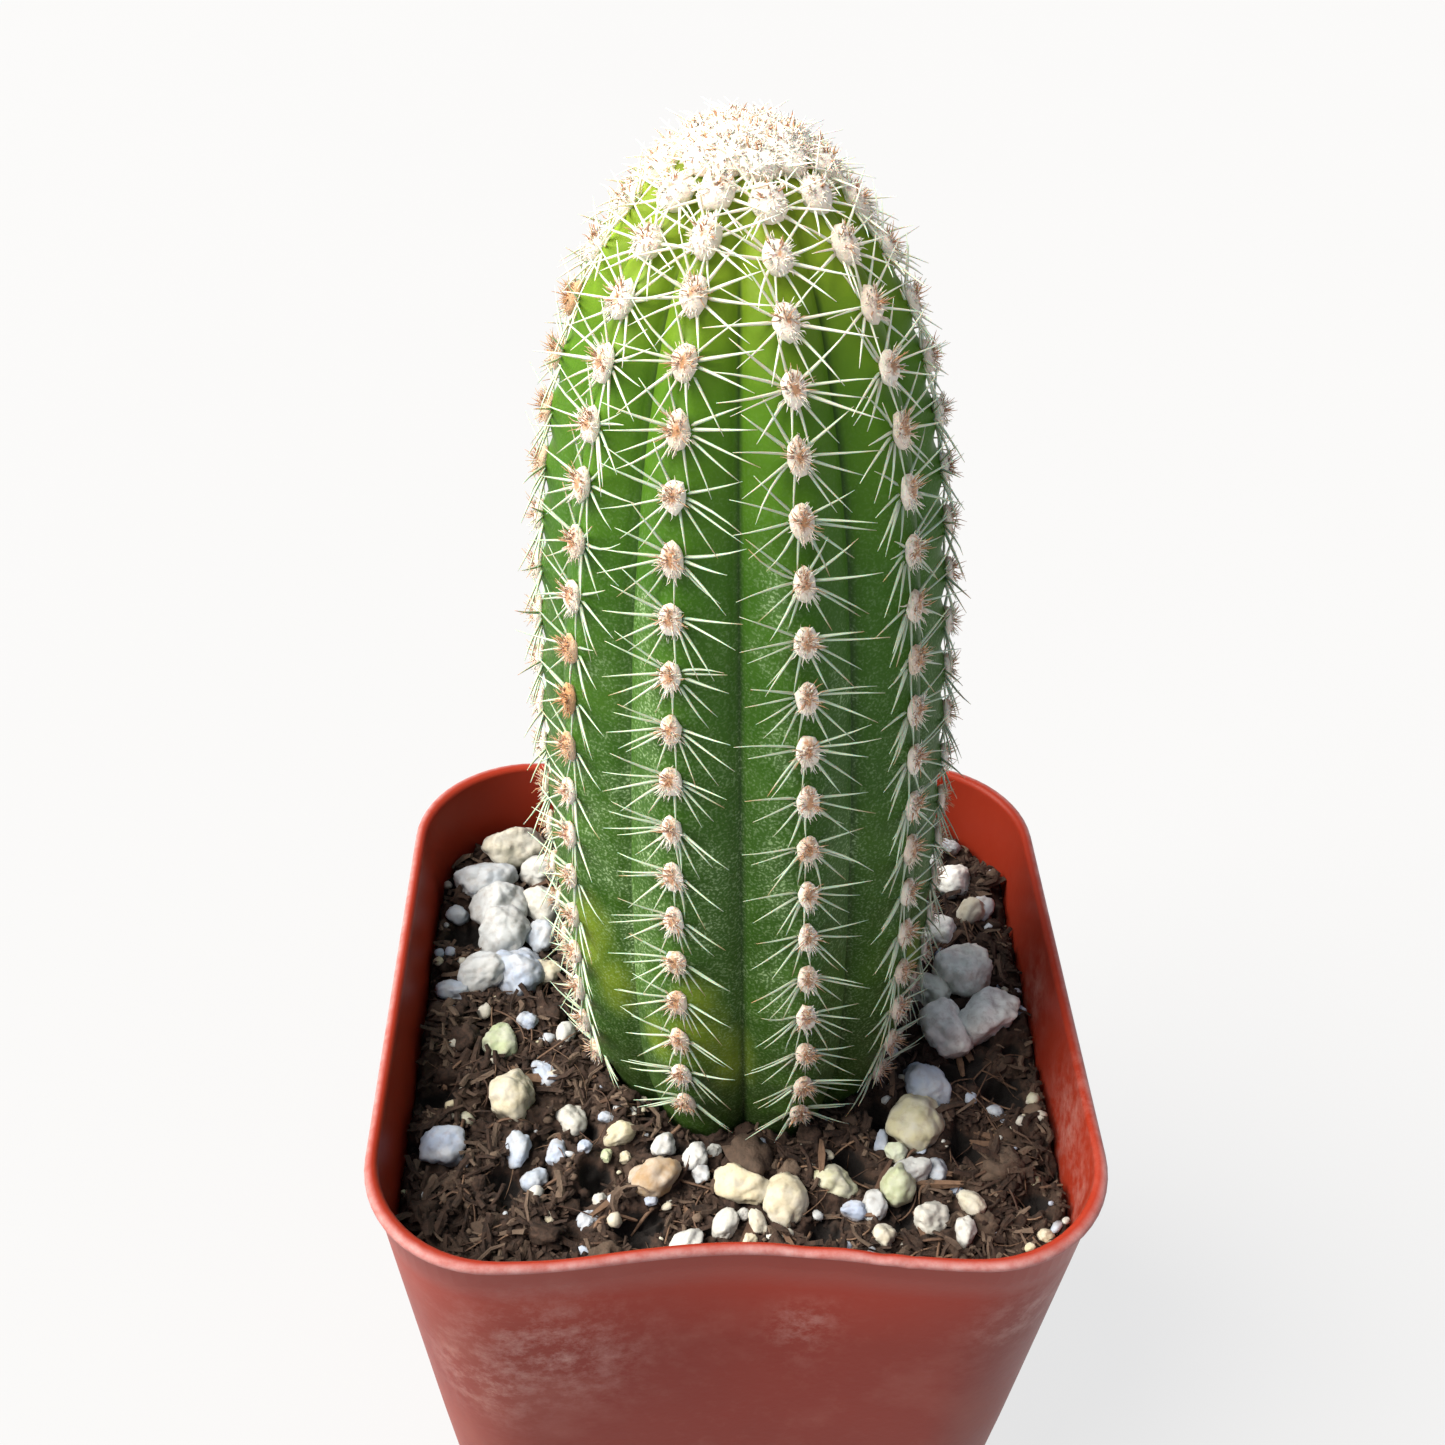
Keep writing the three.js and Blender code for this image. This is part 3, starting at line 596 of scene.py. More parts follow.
@functools.cache
def foot_radius(bearing):
    """Radius of the stem where it enters the mix, at a bearing in whole degrees."""
    ribs = range(-RIBS, 2 * RIBS)
    left = max(rib for rib in ribs if rib_angle(rib, MIX_TOP) <= bearing)
    here, there = rib_angle(left, MIX_TOP), rib_angle(left + 1, MIX_TOP)
    rib = (left + (bearing - here) / (there - here)) % RIBS
    place = stem_point(rib, MIX_DEPTH) - stem_centre(MIX_TOP)
    return math.hypot(place.x, place.y)


def stem_gap(x, y):
    """Distance of a place on the mix from the skin of the stem."""
    centre = stem_centre(MIX_TOP)
    bearing = round(math.degrees(math.atan2(x - centre.x, centre.y - y)))
    return math.hypot(x - centre.x, y - centre.y) - foot_radius(bearing)


def clear_of_stem(x, y, reach):
    """Whether something on the mix keeps off the stem."""
    return stem_gap(x, y) > GAP + reach


def clear_of_pot(x, y, reach):
    """Whether something on the mix keeps off the pot's wall."""
    half = inner_half(MIX_TOP) - GAP - reach
    corner = RIM_CORNER - WALL - reach
    beyond = max(abs(x) - half + corner, 0), max(abs(y) - half + corner, 0)
    return math.hypot(*beyond) < corner


def clear_of_front(x, y, reach):
    """Whether something on the mix keeps off the pressed-in front wall."""
    half = inner_half(MIX_TOP) - GAP
    return y - reach > -half + front_press(x, half - RIM_CORNER + WALL, half, MIX_TOP)


def free_place(draws, reach):
    """A seeded place on the mix, clear of the stem and the pot."""
    while True:
        x, y = (draws.uniform(-1, 1) * inner_half(MIX_TOP) for _ in range(2))
        if clear_of_stem(x, y, reach) and clear_of_pot(x, y, reach) and clear_of_front(x, y, reach):
            return x, y


def sunkenness(place):
    """How deep in the mix's hollows a place lies, from 0 to 1, which sets the painted shade there."""
    sunk = mix_height(place.x, place.y) - BED_SINK - place.z
    return min(max(sunk / HOLLOW_DEPTH + 0.5, 0), 1)


def off_clump(x, y):
    """Whether a place on the mix is a gap between clumps of peat."""
    return peat_height(x, y) < mix_height(x, y) - BED_SINK - GAP_DEPTH


def in_hole(x, y, spread):
    """Whether something on the mix would hang over one of the holes in it."""
    return any(math.hypot(x - there[0], y - there[1]) < there[2] + spread for there in HOLES)


def on_grain(x, y, margin):
    """Whether a place on the mix is on a large grain of perlite or within a margin of it."""
    return any(math.hypot(x - there[0], y - there[1]) < there[3] / 2 + margin for there in GRAINS)


def peat_place(draws, reach, spread, gap_kept=GAP_KEPT):
    """A free place that is seldom in a gap between clumps, and never in a hole or on a grain."""
    while True:
        x, y = free_place(draws, reach)
        bare = off_clump(x, y) and draws.random() < gap_kept
        if not (bare or in_hole(x, y, spread) or on_grain(x, y, GRAIN_MARGIN + spread)):
            return x, y


def mostly_small(draws, sizes, power):
    """A size drawn between two, nearer the smaller one the higher the power is."""
    return sizes[0] + (sizes[1] - sizes[0]) * draws.random() ** power


def random_vector(draws, low, high):
    """A vector whose three parts are drawn between two bounds."""
    return Vector([draws.uniform(low, high) for _ in range(3)])


def roughened(radius, place, offset, bumps):
    """A radius with noise of several finenesses and heights added to it."""
    for fineness, height in bumps:
        radius += height * noise.noise(place * fineness + offset)
    return radius


def add_layers(bm, *names):
    """Adds number attributes to the vertices, one for each name."""
    return [bm.verts.layers.float.new(name) for name in names]


def lathe(profile, steps):
    """A chain of radius and height points turned once round the Z axis, with its doubles merged."""
    bm = bmesh.new()
    chain = [bm.verts.new((radius, 0, height)) for radius, height in profile]
    edges = [bm.edges.new(pair) for pair in zip(chain, chain[1:])]
    bmesh.ops.spin(
        bm, geom=chain + edges, cent=(0, 0, 0), axis=(0, 0, 1), angle=2 * math.pi, steps=steps, use_merge=True
    )
    bmesh.ops.remove_doubles(bm, verts=bm.verts, dist=MERGE_DISTANCE)
    return bm


def turn_step(place, steps):
    """Which of a lathe's steps a point belongs to."""
    return round(math.atan2(place.y, place.x) / (2 * math.pi) * steps) % steps


def ball(rounds):
    """A ball of unit radius, finer the more rounds its faces are divided in."""
    bm = bmesh.new()
    bmesh.ops.create_icosphere(bm, subdivisions=rounds, radius=1)
    return bm


def rod(sides, rings):
    """A closed rod of unit radius that stands from z 0 to 1 in equal rings."""
    bm = bmesh.new()
    middle = Matrix.Translation((0, 0, 0.5))
    bmesh.ops.create_cone(bm, cap_ends=True, segments=sides, radius1=1, radius2=1, depth=1, matrix=middle)
    lengthwise = [edge for edge in bm.edges if abs(edge.verts[0].co.z - edge.verts[1].co.z) > 0.5]
    bmesh.ops.subdivide_edges(bm, edges=lengthwise, cuts=rings - 1, use_grid_fill=True)
    return bm


def copies(bm, count):
    """Doubles what bm holds until it is there count times, and gives each copy's vertices."""
    tables = bm.verts, bm.edges, bm.faces
    sizes = [len(table) for table in tables]
    made = 1
    while made < count:
        share = min(made, count - made)
        for table in tables:
            table.ensure_lookup_table()
        geom = [part for table, size in zip(tables, sizes) for part in table[: share * size]]
        bmesh.ops.duplicate(bm, geom=geom)
        made += share
    bm.verts.ensure_lookup_table()
    return [bm.verts[k * sizes[0] : (k + 1) * sizes[0]] for k in range(count)]


def lay_rod(verts, knots, root, tip, layer=None, flatness=1):
    """Bends a rod along the Bezier curve of four knots; root and tip are its half widths."""
    a, b, c, d = knots
    for vert in verts:
        t = vert.co.z
        s = 1 - t
        centre = a * s**3 + b * 3 * s * s * t + c * 3 * s * t * t + d * t**3
        run = ((b - a) * s * s + (c - b) * 2 * s * t + (d - c) * t * t).normalized()
        side = run.cross(Vector((0.31, 0.17, 0.93))).normalized()
        radius = root + (tip - root) * t**1.6
        offset = side * vert.co.x + run.cross(side) * vert.co.y * flatness
        if layer:
            vert[layer] = t
        vert.co = centre + offset * radius


def make_piece(bm, name, material, smooth=True):
    """Turns a bmesh in millimetres into a piece in metres that rides on the part's one body."""
    if name in bpy.data.objects:
        raise RuntimeError(f"{name} is already there")
    bmesh.ops.recalc_face_normals(bm, faces=bm.faces)
    bmesh.ops.scale(bm, vec=(MM, MM, MM), verts=bm.verts)
    for face in bm.faces:
        face.smooth = smooth
    mesh = bpy.data.meshes.new(name)
    bm.to_mesh(mesh)
    bm.free()
    mesh.materials.append(material)
    piece = bpy.data.objects.new(name, mesh)
    bpy.context.collection.objects.link(piece)
    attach(piece, BODY)
    return piece


def add_node(tree, kind, inputs=None, output=None, stops=None, **settings):
    """Adds a shader node and gives one of its outputs: the first in use, unless it is named.

    Inputs are values or the outputs that feed it, stops are the places and colours of a ramp, and
    settings are the node's own."""
    node = tree.nodes.new("ShaderNode" + kind)
    for name, value in settings.items():
        setattr(node, name, value)
    for name, value in (inputs or {}).items():
        if isinstance(value, bpy.types.NodeSocket):
            tree.links.new(value, node.inputs[name])
        else:
            node.inputs[name].default_value = value
    for k, (place, colour) in enumerate((stops or {}).items()):
        elements = node.color_ramp.elements
        stop = elements[k] if k < 2 else elements.new(place)
        stop.position = place
        stop.color = linear(colour)
    if output:
        return node.outputs[output]
    return next((socket for socket in node.outputs if socket.enabled), None)


def new_material(name, *attributes):
    """An empty material with its node tree, and outputs for Object coordinates and vertex attributes."""
    material = bpy.data.materials.new(name)
    material.use_nodes = True
    tree = material.node_tree
    tree.nodes.clear()
    place = add_node(tree, "TexCoord", output="Object")
    return material, tree, place, *(
        add_node(tree, "Attribute", output="Fac", attribute_name=attribute) for attribute in attributes
    )


def per(size):
    """The scale of a pattern on Object coordinates whose features are size millimetres."""
    return 1 / (size * MM)


def moulded_polypropylene(settings):
    """Injection-moulded polypropylene, dyed terracotta: a satin skin with fine orange peel,
    dulled by dried dust and water marks, darkened outside by a brown film of painted shade that
    thins towards the lip, and rubbed pale along the lip, partly wear and partly a painted highlight."""
    material, tree, place, outside, lip, scuff = new_material(
        "Moulded polypropylene", "outside", "lip", "scuff"
    )
    # Dust lies in patches about 14 mm across, with smudges of 2 mm where it was rubbed
    patches = add_node(tree, "TexNoise", {"Vector": place, "Scale": per(14), "Detail": 5, "Roughness": 0.62})
    dusty = add_node(tree, "MapRange", {"Value": patches, "From Min": 0.48, "From Max": 0.75, "To Max": 0.34})
    rubbed = add_node(tree, "TexNoise", {"Vector": place, "Scale": per(1.8), "Detail": 4, "Roughness": 0.7})
    smudge = add_node(tree, "MapRange", {"Value": rubbed, "From Min": 0.55, "From Max": 0.8, "To Max": 0.14})
    dirt = add_node(tree, "Math", {0: dusty, 1: smudge}, operation="ADD")
    # Dust and painted shade thin out over the top 10 mm of the wall, which paints it lighter there
    height = add_node(tree, "SeparateXYZ", {"Vector": place}, output="Z")
    dust_and_shade_by_height = add_node(
        tree, "MapRange",
        {"Value": height, "From Min": 44 * MM, "From Max": 54 * MM, "To Min": 1, "To Max": 0.25},
    )
    # How much dust and painted shade a place gets, from its side of the wall and its height
    soiled = add_node(tree, "Math", {0: outside, 1: dust_and_shade_by_height}, operation="MULTIPLY")
    dust = add_node(tree, "Math", {0: dirt, 1: soiled}, operation="MULTIPLY", use_clamp=True)
    # Dried splashes of lime where the pot was scuffed, ragged blots of about 2 mm
    blots = add_node(tree, "TexNoise", {"Vector": place, "Scale": per(2.2), "Detail": 6, "Roughness": 0.75})
    blot = add_node(tree, "MapRange", {"Value": blots, "From Min": 0.44, "From Max": 0.72, "To Max": 0.42})
    lime = add_node(tree, "Math", {0: blot, 1: scuff}, operation="MULTIPLY")
    # The dye varies a little over about 20 mm, and a brown film of painted shade darkens the outside most and
    # the inside less
    dye = add_node(tree, "TexNoise", {"Vector": place, "Scale": per(20), "Detail": 2})
    painted_shade_film = add_node(tree, "Math", {0: soiled, 1: 0.55}, operation="MULTIPLY")
    # The lip is rubbed pale, unevenly over 1.2 mm: partly wear, partly a painted highlight along its outer
    # edge
    wear_and_highlight_noise = add_node(tree, "TexNoise", {"Vector": place, "Scale": per(1.2), "Detail": 4, "Roughness": 0.7})
    wear_and_highlight = add_node(
        tree, "MapRange", {"Value": wear_and_highlight_noise, "From Min": 0.35, "From Max": 0.7, "To Min": 0.35, "To Max": 0.9}
    )
    pale = add_node(tree, "Math", {0: lip, 1: wear_and_highlight}, operation="MULTIPLY")
    colour = settings.plastic
    for cover, over in (
        (dye, linear(0x84281A)), (painted_shade_film, linear(0x57160B)), (dust, settings.dust),
        (lime, linear(0xD2B3AA)), (pale, linear(0xBC9B99)),
    ):
        colour = add_node(tree, "Mix", {MIX_FACTOR: cover, MIX_A: colour, MIX_B: over}, data_type="RGBA")
    dull = add_node(tree, "MapRange", {"Value": dust, "To Min": 0.36, "To Max": 0.8})
    # Orange peel from the mould is finer than this 0.6 mm, which is drawn coarse enough to show
    peel = add_node(tree, "TexNoise", {"Vector": place, "Scale": per(0.6), "Detail": 2})
    bump = add_node(tree, "Bump", {"Height": peel, "Strength": 0.12, "Distance": 0.1 * MM})
    shader = add_node(
        tree, "BsdfPrincipled",
        {"Base Color": colour, "Roughness": dull, "IOR": 1.49, "Specular IOR Level": 0.1, "Normal": bump,
         "Subsurface Weight": 0.15, "Subsurface Scale": 1.2 * MM, "Subsurface Radius": (1, 0.25, 0.15)},
    )
    add_node(tree, "OutputMaterial", {"Surface": shader})
    return material


def moist_peat(settings):
    """Sphagnum peat, moist and crumbled, with warm brown crumbs, and painted shade that makes it nearly black
    in the hollows.
    """
    material, tree, place, tint, hollow_shade = new_material("Moist peat", "tint", "hollow_shade")
    # Crumb grain of 0.5 mm over clumps of 3 mm
    grain = add_node(tree, "TexNoise", {"Vector": place, "Scale": per(0.5), "Detail": 5, "Roughness": 0.7})
    clumps = add_node(tree, "TexNoise", {"Vector": place, "Scale": per(3), "Detail": 3})
    light = add_node(tree, "MapRange", {"Value": grain, "From Min": 0.32, "From Max": 0.68})
    warm = add_node(tree, "MapRange", {"Value": clumps, "From Min": 0.5, "From Max": 0.75, "To Max": 0.5})
    dry = add_node(tree, "MapRange", {"Value": tint, "From Min": 0.6, "From Max": 1, "To Max": 0.6})
    # Painted shade: the peat turns nearly black where it lies deep in the hollows
    sunk = add_node(tree, "MapRange", {"Value": hollow_shade, "From Min": 0.4, "From Max": 0.85, "To Max": 0.92})
    colour = settings.dark_peat
    for cover, over in (
        (light, settings.peat), (warm, linear(0x57463A)), (dry, linear(0x7E6C5C)), (sunk, linear(0x080504)),
    ):
        colour = add_node(tree, "Mix", {MIX_FACTOR: cover, MIX_A: colour, MIX_B: over}, data_type="RGBA")
    bump = add_node(tree, "Bump", {"Height": grain, "Strength": 0.8, "Distance": 0.3 * MM})
    shader = add_node(
        tree, "BsdfPrincipled",
        {"Base Color": colour, "Roughness": 0.85, "Specular IOR Level": 0.35, "Normal": bump},
    )
    add_node(tree, "OutputMaterial", {"Surface": shader})
    return material


def pine_bark(settings):
    """Shredded pine bark and roots: dull, streaked along the grain, from straw to red brown."""
    material, tree, place, tint = new_material("Pine bark and root fibre", "tint")
    # Streaks of 0.4 mm
    streaks = add_node(tree, "TexNoise", {"Vector": place, "Scale": per(0.4), "Detail": 4, "Roughness": 0.7})
    shade = add_node(tree, "MapRange", {"Value": streaks, "From Min": 0.35, "From Max": 0.7, "To Max": 0.55})
    colour = linear(0x3C2518)
    for cover, over in ((tint, settings.fibre), (shade, linear(0x2A1810))):
        colour = add_node(tree, "Mix", {MIX_FACTOR: cover, MIX_A: colour, MIX_B: over}, data_type="RGBA")
    bump = add_node(tree, "Bump", {"Height": streaks, "Strength": 0.6, "Distance": 0.15 * MM})
    shader = add_node(tree, "BsdfPrincipled", {"Base Color": colour, "Roughness": 0.8, "Normal": bump})
    add_node(tree, "OutputMaterial", {"Surface": shader})
    return material


def expanded_perlite(settings):
    """Expanded perlite, a foamed volcanic glass: chalky white, pitted, some grains creamy and some
    greenish with algae, some painted bluish grey as painted shade and those in the stem's shadow
    painted clean white as painted light, and stained by peat where they lie in it."""
    material, tree, place, tint, low = new_material("Expanded perlite", "tint", "low")
    # The ramp's bluish grey low end is painted shade, and its clean white at 0.9 is painted light for grains
    # in the stem's shadow
    tinted = add_node(
        tree, "ValToRGB", {"Fac": tint},
        stops={0: 0x8A97AE, 0.15: 0x99A5B6, 0.35: 0xABADAA, 0.6: 0xB2A98C, 0.8: 0x99A482, 0.9: 0xF6F9F4,
               1: 0x927A5A},
    )
    # Blotches of 1.8 mm leave the rest of a grain clean, and grime of 0.7 mm settles on it
    blotch = add_node(tree, "TexNoise", {"Vector": place, "Scale": per(1.8), "Detail": 4, "Roughness": 0.6})
    patch = add_node(tree, "MapRange", {"Value": blotch, "From Min": 0.34, "From Max": 0.6, "To Min": 0.45})
    grime = add_node(tree, "TexNoise", {"Vector": place, "Scale": per(0.7), "Detail": 4, "Roughness": 0.7})
    stain = add_node(tree, "MapRange", {"Value": grime, "From Min": 0.5, "From Max": 0.8, "To Max": 0.5})
    sunk = add_node(tree, "Math", {0: stain, 1: low}, operation="ADD", use_clamp=True)
    colour = settings.perlite
    for cover, over in ((patch, tinted), (sunk, linear(0x7B6654))):
        colour = add_node(tree, "Mix", {MIX_FACTOR: cover, MIX_A: colour, MIX_B: over}, data_type="RGBA")
    # Foamy knobs of 1.1 mm with creases between them, and pits where bubbles broke, which are finer
    # than this 0.55 mm and drawn coarse enough to show
    knobs = add_node(
        tree, "TexVoronoi", {"Vector": place, "Scale": per(1.1), "Smoothness": 0.4}, feature="SMOOTH_F1"
    )
    pits = add_node(tree, "TexVoronoi", {"Vector": place, "Scale": per(0.55)})
    swell = add_node(tree, "Bump", {"Height": knobs, "Strength": 0.7, "Distance": 0.45 * MM}, invert=True)
    bump = add_node(
        tree, "Bump", {"Height": pits, "Strength": 0.35, "Distance": 0.12 * MM, "Normal": swell}
    )
    shader = add_node(
        tree, "BsdfPrincipled",
        {"Base Color": colour, "Roughness": 0.75, "Normal": bump, "Subsurface Weight": 0.2,
         "Subsurface Scale": 0.6 * MM, "Subsurface Radius": (1, 0.95, 0.9)},
    )
    add_node(tree, "OutputMaterial", {"Surface": shader})
    return material


def cactus_skin(settings):
    """Living cactus skin under a waxy cuticle: satin and a little translucent, yellow green at
    the crown, painted dark in the furrows as painted shade, stippled pale with stomata and scurf lower down."""
    material, tree, place, furrow, age, flush, scurf = new_material(
        "Waxy cactus skin", "furrow", "age", "flush", "scurf"
    )
    green = add_node(
        tree, "ValToRGB", {"Fac": age},
        stops={0: 0xB4BE3C, 0.1: 0x90AC28, 0.18: 0x5C881A, 0.3: 0x3A6610, 0.5: 0x2C4F0F, 0.75: 0x284210,
               1: 0x313E17},
    )
    # Cloudy changes of green over about 7 mm, and drifts of 3 mm in the flushes and the scurf
    clouds = add_node(tree, "TexNoise", {"Vector": place, "Scale": per(7), "Detail": 3, "Roughness": 0.55})
    cloudy = add_node(tree, "MapRange", {"Value": clouds, "From Min": 0.48, "From Max": 0.75, "To Max": 0.5})
    drifts = add_node(tree, "TexNoise", {"Vector": place, "Scale": per(3), "Detail": 5, "Roughness": 0.7})
    blotch = add_node(tree, "Math", {0: flush, 1: drifts}, operation="MULTIPLY")
    flushing = add_node(
        tree, "MapRange", {"Value": blotch, "From Min": 0.1, "From Max": 0.55, "To Max": 0.75}
    )
    # Painted shade: a deep green line along the bottom of each furrow
    deep = add_node(tree, "MapRange", {"Value": furrow, "From Min": 0.9, "From Max": 1, "To Max": 0.75})
    # Stomata and scurf: pale specks under 0.1 mm, drawn in a pattern of 0.2 mm so that they show
    specks = add_node(tree, "TexNoise", {"Vector": place, "Scale": per(0.2), "Detail": 1})
    dot = add_node(tree, "MapRange", {"Value": specks, "From Min": 0.5, "From Max": 0.69})
    drift = add_node(tree, "MapRange", {"Value": drifts, "From Min": 0.42, "From Max": 0.62})
    older = add_node(tree, "MapRange", {"Value": age, "From Min": 0.15, "From Max": 0.5, "To Max": 0.19})
    patchy = add_node(tree, "Math", {0: scurf, 1: older}, operation="ADD", use_clamp=True)
    where = add_node(tree, "Math", {0: drift, 1: patchy}, operation="MULTIPLY")
    even = add_node(tree, "Math", {0: where, 1: older}, operation="ADD", use_clamp=True)
    stipple = add_node(tree, "Math", {0: dot, 1: even}, operation="MULTIPLY")
    haze = add_node(tree, "Math", {0: where, 1: 0.22}, operation="MULTIPLY")
    colour = green
    for cover, over in (
        (0.35, settings.green), (cloudy, linear(0x42681A)), (flushing, settings.young),
        (deep, settings.shade), (haze, linear(0x7E9A68)), (stipple, linear(0x97B182)),
    ):
        colour = add_node(tree, "Mix", {MIX_FACTOR: cover, MIX_A: colour, MIX_B: over}, data_type="RGBA")
    bump = add_node(tree, "Bump", {"Height": specks, "Strength": 0.25, "Distance": 0.08 * MM})
    shader = add_node(
        tree, "BsdfPrincipled",
        {"Base Color": colour, "Roughness": 0.5, "IOR": 1.42, "Specular IOR Level": 0.2, "Normal": bump,
         "Subsurface Weight": 0.18, "Subsurface Scale": 1.5 * MM, "Subsurface Radius": (0.6, 1, 0.2)},
    )
    add_node(tree, "OutputMaterial", {"Surface": shader})
    return material


def areole_felt(settings):
    """Areole felt: matted plant hairs, cream at the rim and tan in the middle, dull with sheen."""
    material, tree, place, rim, stain = new_material("Areole felt", "rim", "stain")
    # Matted hairs, finer than this 0.28 mm and drawn coarse enough to show
    mat = add_node(tree, "TexNoise", {"Vector": place, "Scale": per(0.28), "Detail": 3, "Roughness": 0.7})
    edge = add_node(tree, "Math", {0: rim, 1: mat}, operation="ADD")
    pale = add_node(tree, "MapRange", {"Value": edge, "From Min": 0.74, "From Max": 1.12})
    colour = settings.bristle
    for cover, over in ((pale, settings.wool), (stain, linear(0xB9803F))):
        colour = add_node(tree, "Mix", {MIX_FACTOR: cover, MIX_A: colour, MIX_B: over}, data_type="RGBA")
    bump = add_node(tree, "Bump", {"Height": mat, "Strength": 0.8, "Distance": 0.2 * MM})
    shader = add_node(
        tree, "BsdfPrincipled",
        {"Base Color": colour, "Roughness": 0.95, "Normal": bump, "Sheen Weight": 0.3,
         "Subsurface Weight": 0.2, "Subsurface Scale": 0.4 * MM},
    )
    add_node(tree, "OutputMaterial", {"Surface": shader})
    return material


def spine_horn(settings):
    """Cactus spine, a dry horny needle: pale and translucent, with a faint green cast and a tan tip."""
    material, tree, place, along, tint, crown = new_material("Spine horn", "along", "tint", "crown")
    # Streaks of 0.8 mm along the needles
    streak = add_node(tree, "TexNoise", {"Vector": place, "Scale": per(0.8), "Detail": 2})
    reach = add_node(tree, "Math", {0: along, 1: tint}, operation="MULTIPLY")
    tanned = add_node(tree, "MapRange", {"Value": reach, "From Min": 0.6, "From Max": 0.92, "To Max": 0.8})
    colour = settings.horn
    for cover, over in ((streak, linear(0xA0B69A)), (crown, linear(0xFFF8E8)), (tanned, settings.tip)):
        colour = add_node(tree, "Mix", {MIX_FACTOR: cover, MIX_A: colour, MIX_B: over}, data_type="RGBA")
    shader = add_node(
        tree, "BsdfPrincipled",
        {"Base Color": colour, "Roughness": 0.35, "IOR": 1.53, "Subsurface Weight": 0.35,
         "Subsurface Scale": 0.3 * MM},
    )
    add_node(tree, "OutputMaterial", {"Surface": shader})
    return material


def opal_acrylic(settings):
    """Opal acrylic, lit from below: a plain pale floor with faint shadows and a barely uneven tone."""
    material, tree, place = new_material("Opal acrylic")
    # The cast sheet's milkiness changes over 60 mm
    tone = add_node(tree, "TexNoise", {"Vector": place, "Scale": per(60), "Detail": 2})
    soft = add_node(tree, "MapRange", {"Value": tone, "To Max": 0.3})
    colour = add_node(
        tree, "Mix", {MIX_FACTOR: soft, MIX_A: settings.floor, MIX_B: linear(0x494949)}, data_type="RGBA"
    )
    shader = add_node(
        tree, "BsdfPrincipled",
        {"Base Color": colour, "Roughness": 0.9, "Specular IOR Level": 0.1,
         "Emission Color": linear(0xFFFFFF), "Emission Strength": settings.backlight},
    )
    add_node(tree, "OutputMaterial", {"Surface": shader})
    return material


def pot_profile():
    """The pot's section from the middle of its underside, over the lip, to the middle of its floor."""
    lip = LIP_WIDTH / 2
    neck = POT_HEIGHT - LIP_NECK * lip
    foot = outer_half(FOOT_ROUND) - FOOT_ROUND
    profile = [(0, 0)]
    for k in range(ROUND_STEPS + 1):
        turn = math.pi / 2 * k / ROUND_STEPS
        profile.append((foot + FOOT_ROUND * math.sin(turn), FOOT_ROUND * (1 - math.cos(turn))))
    for k in range(1, WALL_STEPS + 1):
        height = FOOT_ROUND + (neck - FOOT_ROUND) * k / WALL_STEPS
        profile.append((outer_half(height), height))
    for k in range(LIP_STEPS + 1):
        turn = math.radians(LIP_FROM + (LIP_TO - LIP_FROM) * k / LIP_STEPS)
        profile.append((RIM_WIDTH / 2 - lip + lip * math.cos(turn), POT_HEIGHT - lip + lip * math.sin(turn)))
    inside = FLOOR + FLOOR_FILLET
    for k in range(1, WALL_STEPS + 1):
        height = POT_HEIGHT - lip + (inside - POT_HEIGHT + lip) * k / WALL_STEPS
        profile.append((inner_half(height), height))
    corner = inner_half(inside) - FLOOR_FILLET
    for k in range(1, ROUND_STEPS + 1):
        turn = math.pi / 2 * k / ROUND_STEPS
        profile.append((corner + FLOOR_FILLET * math.cos(turn), inside - FLOOR_FILLET * math.sin(turn)))
    return profile + [(0, FLOOR)]


class CACTUS_OT_stage(bpy.types.Operator):
    """Set up the camera, the soft studio light and the plain pale floor"""

    bl_idname = "cactus.stage"
    bl_label = "Stage"

    def execute(self, context):
        settings = context.scene.cactus_stage
        camera = bpy.data.objects.new("Camera", bpy.data.cameras.new("Camera"))
        camera.data.lens = CAMERA_LENS
        camera.data.sensor_width = SENSOR
        camera.data.clip_start = 5 * MM
        camera.data.clip_end = 20
        axes = Matrix((CAMERA_RIGHT, CAMERA_UP, CAMERA_RIGHT.cross(CAMERA_UP))).transposed().to_4x4()
        camera.matrix_world = Matrix.Translation(CAMERA_PLACE * MM) @ axes
        context.collection.objects.link(camera)
        context.scene.camera = camera
        context.scene.view_settings.view_transform = "Standard"

        world = bpy.data.worlds.new("Studio")
        world.use_nodes = True
        sky = world.node_tree.nodes["Background"]
        sky.inputs["Color"].default_value = linear(0xE4EDFF)
        sky.inputs["Strength"].default_value = settings.sky
        context.scene.world = world
        light = bpy.data.lights.new("Key", "SUN")
        light.energy = settings.key
        light.angle = settings.softness
        light.color = linear(0xFFF8EE)[:3]
        lamp = bpy.data.objects.new("Key", light)
        lamp.rotation_euler = Vector(KEY_FROM).to_track_quat("Z", "Y").to_euler()
        context.collection.objects.link(lamp)

        bm = bmesh.new()
        bmesh.ops.create_circle(bm, cap_ends=True, segments=64, radius=FLOOR_RADIUS * MM)
        mesh = bpy.data.meshes.new("Floor")
        bm.to_mesh(mesh)
        bm.free()
        mesh.materials.append(opal_acrylic(settings))
        floor = bpy.data.objects.new("Floor", mesh)
        context.collection.objects.link(floor)
        return {"FINISHED"}


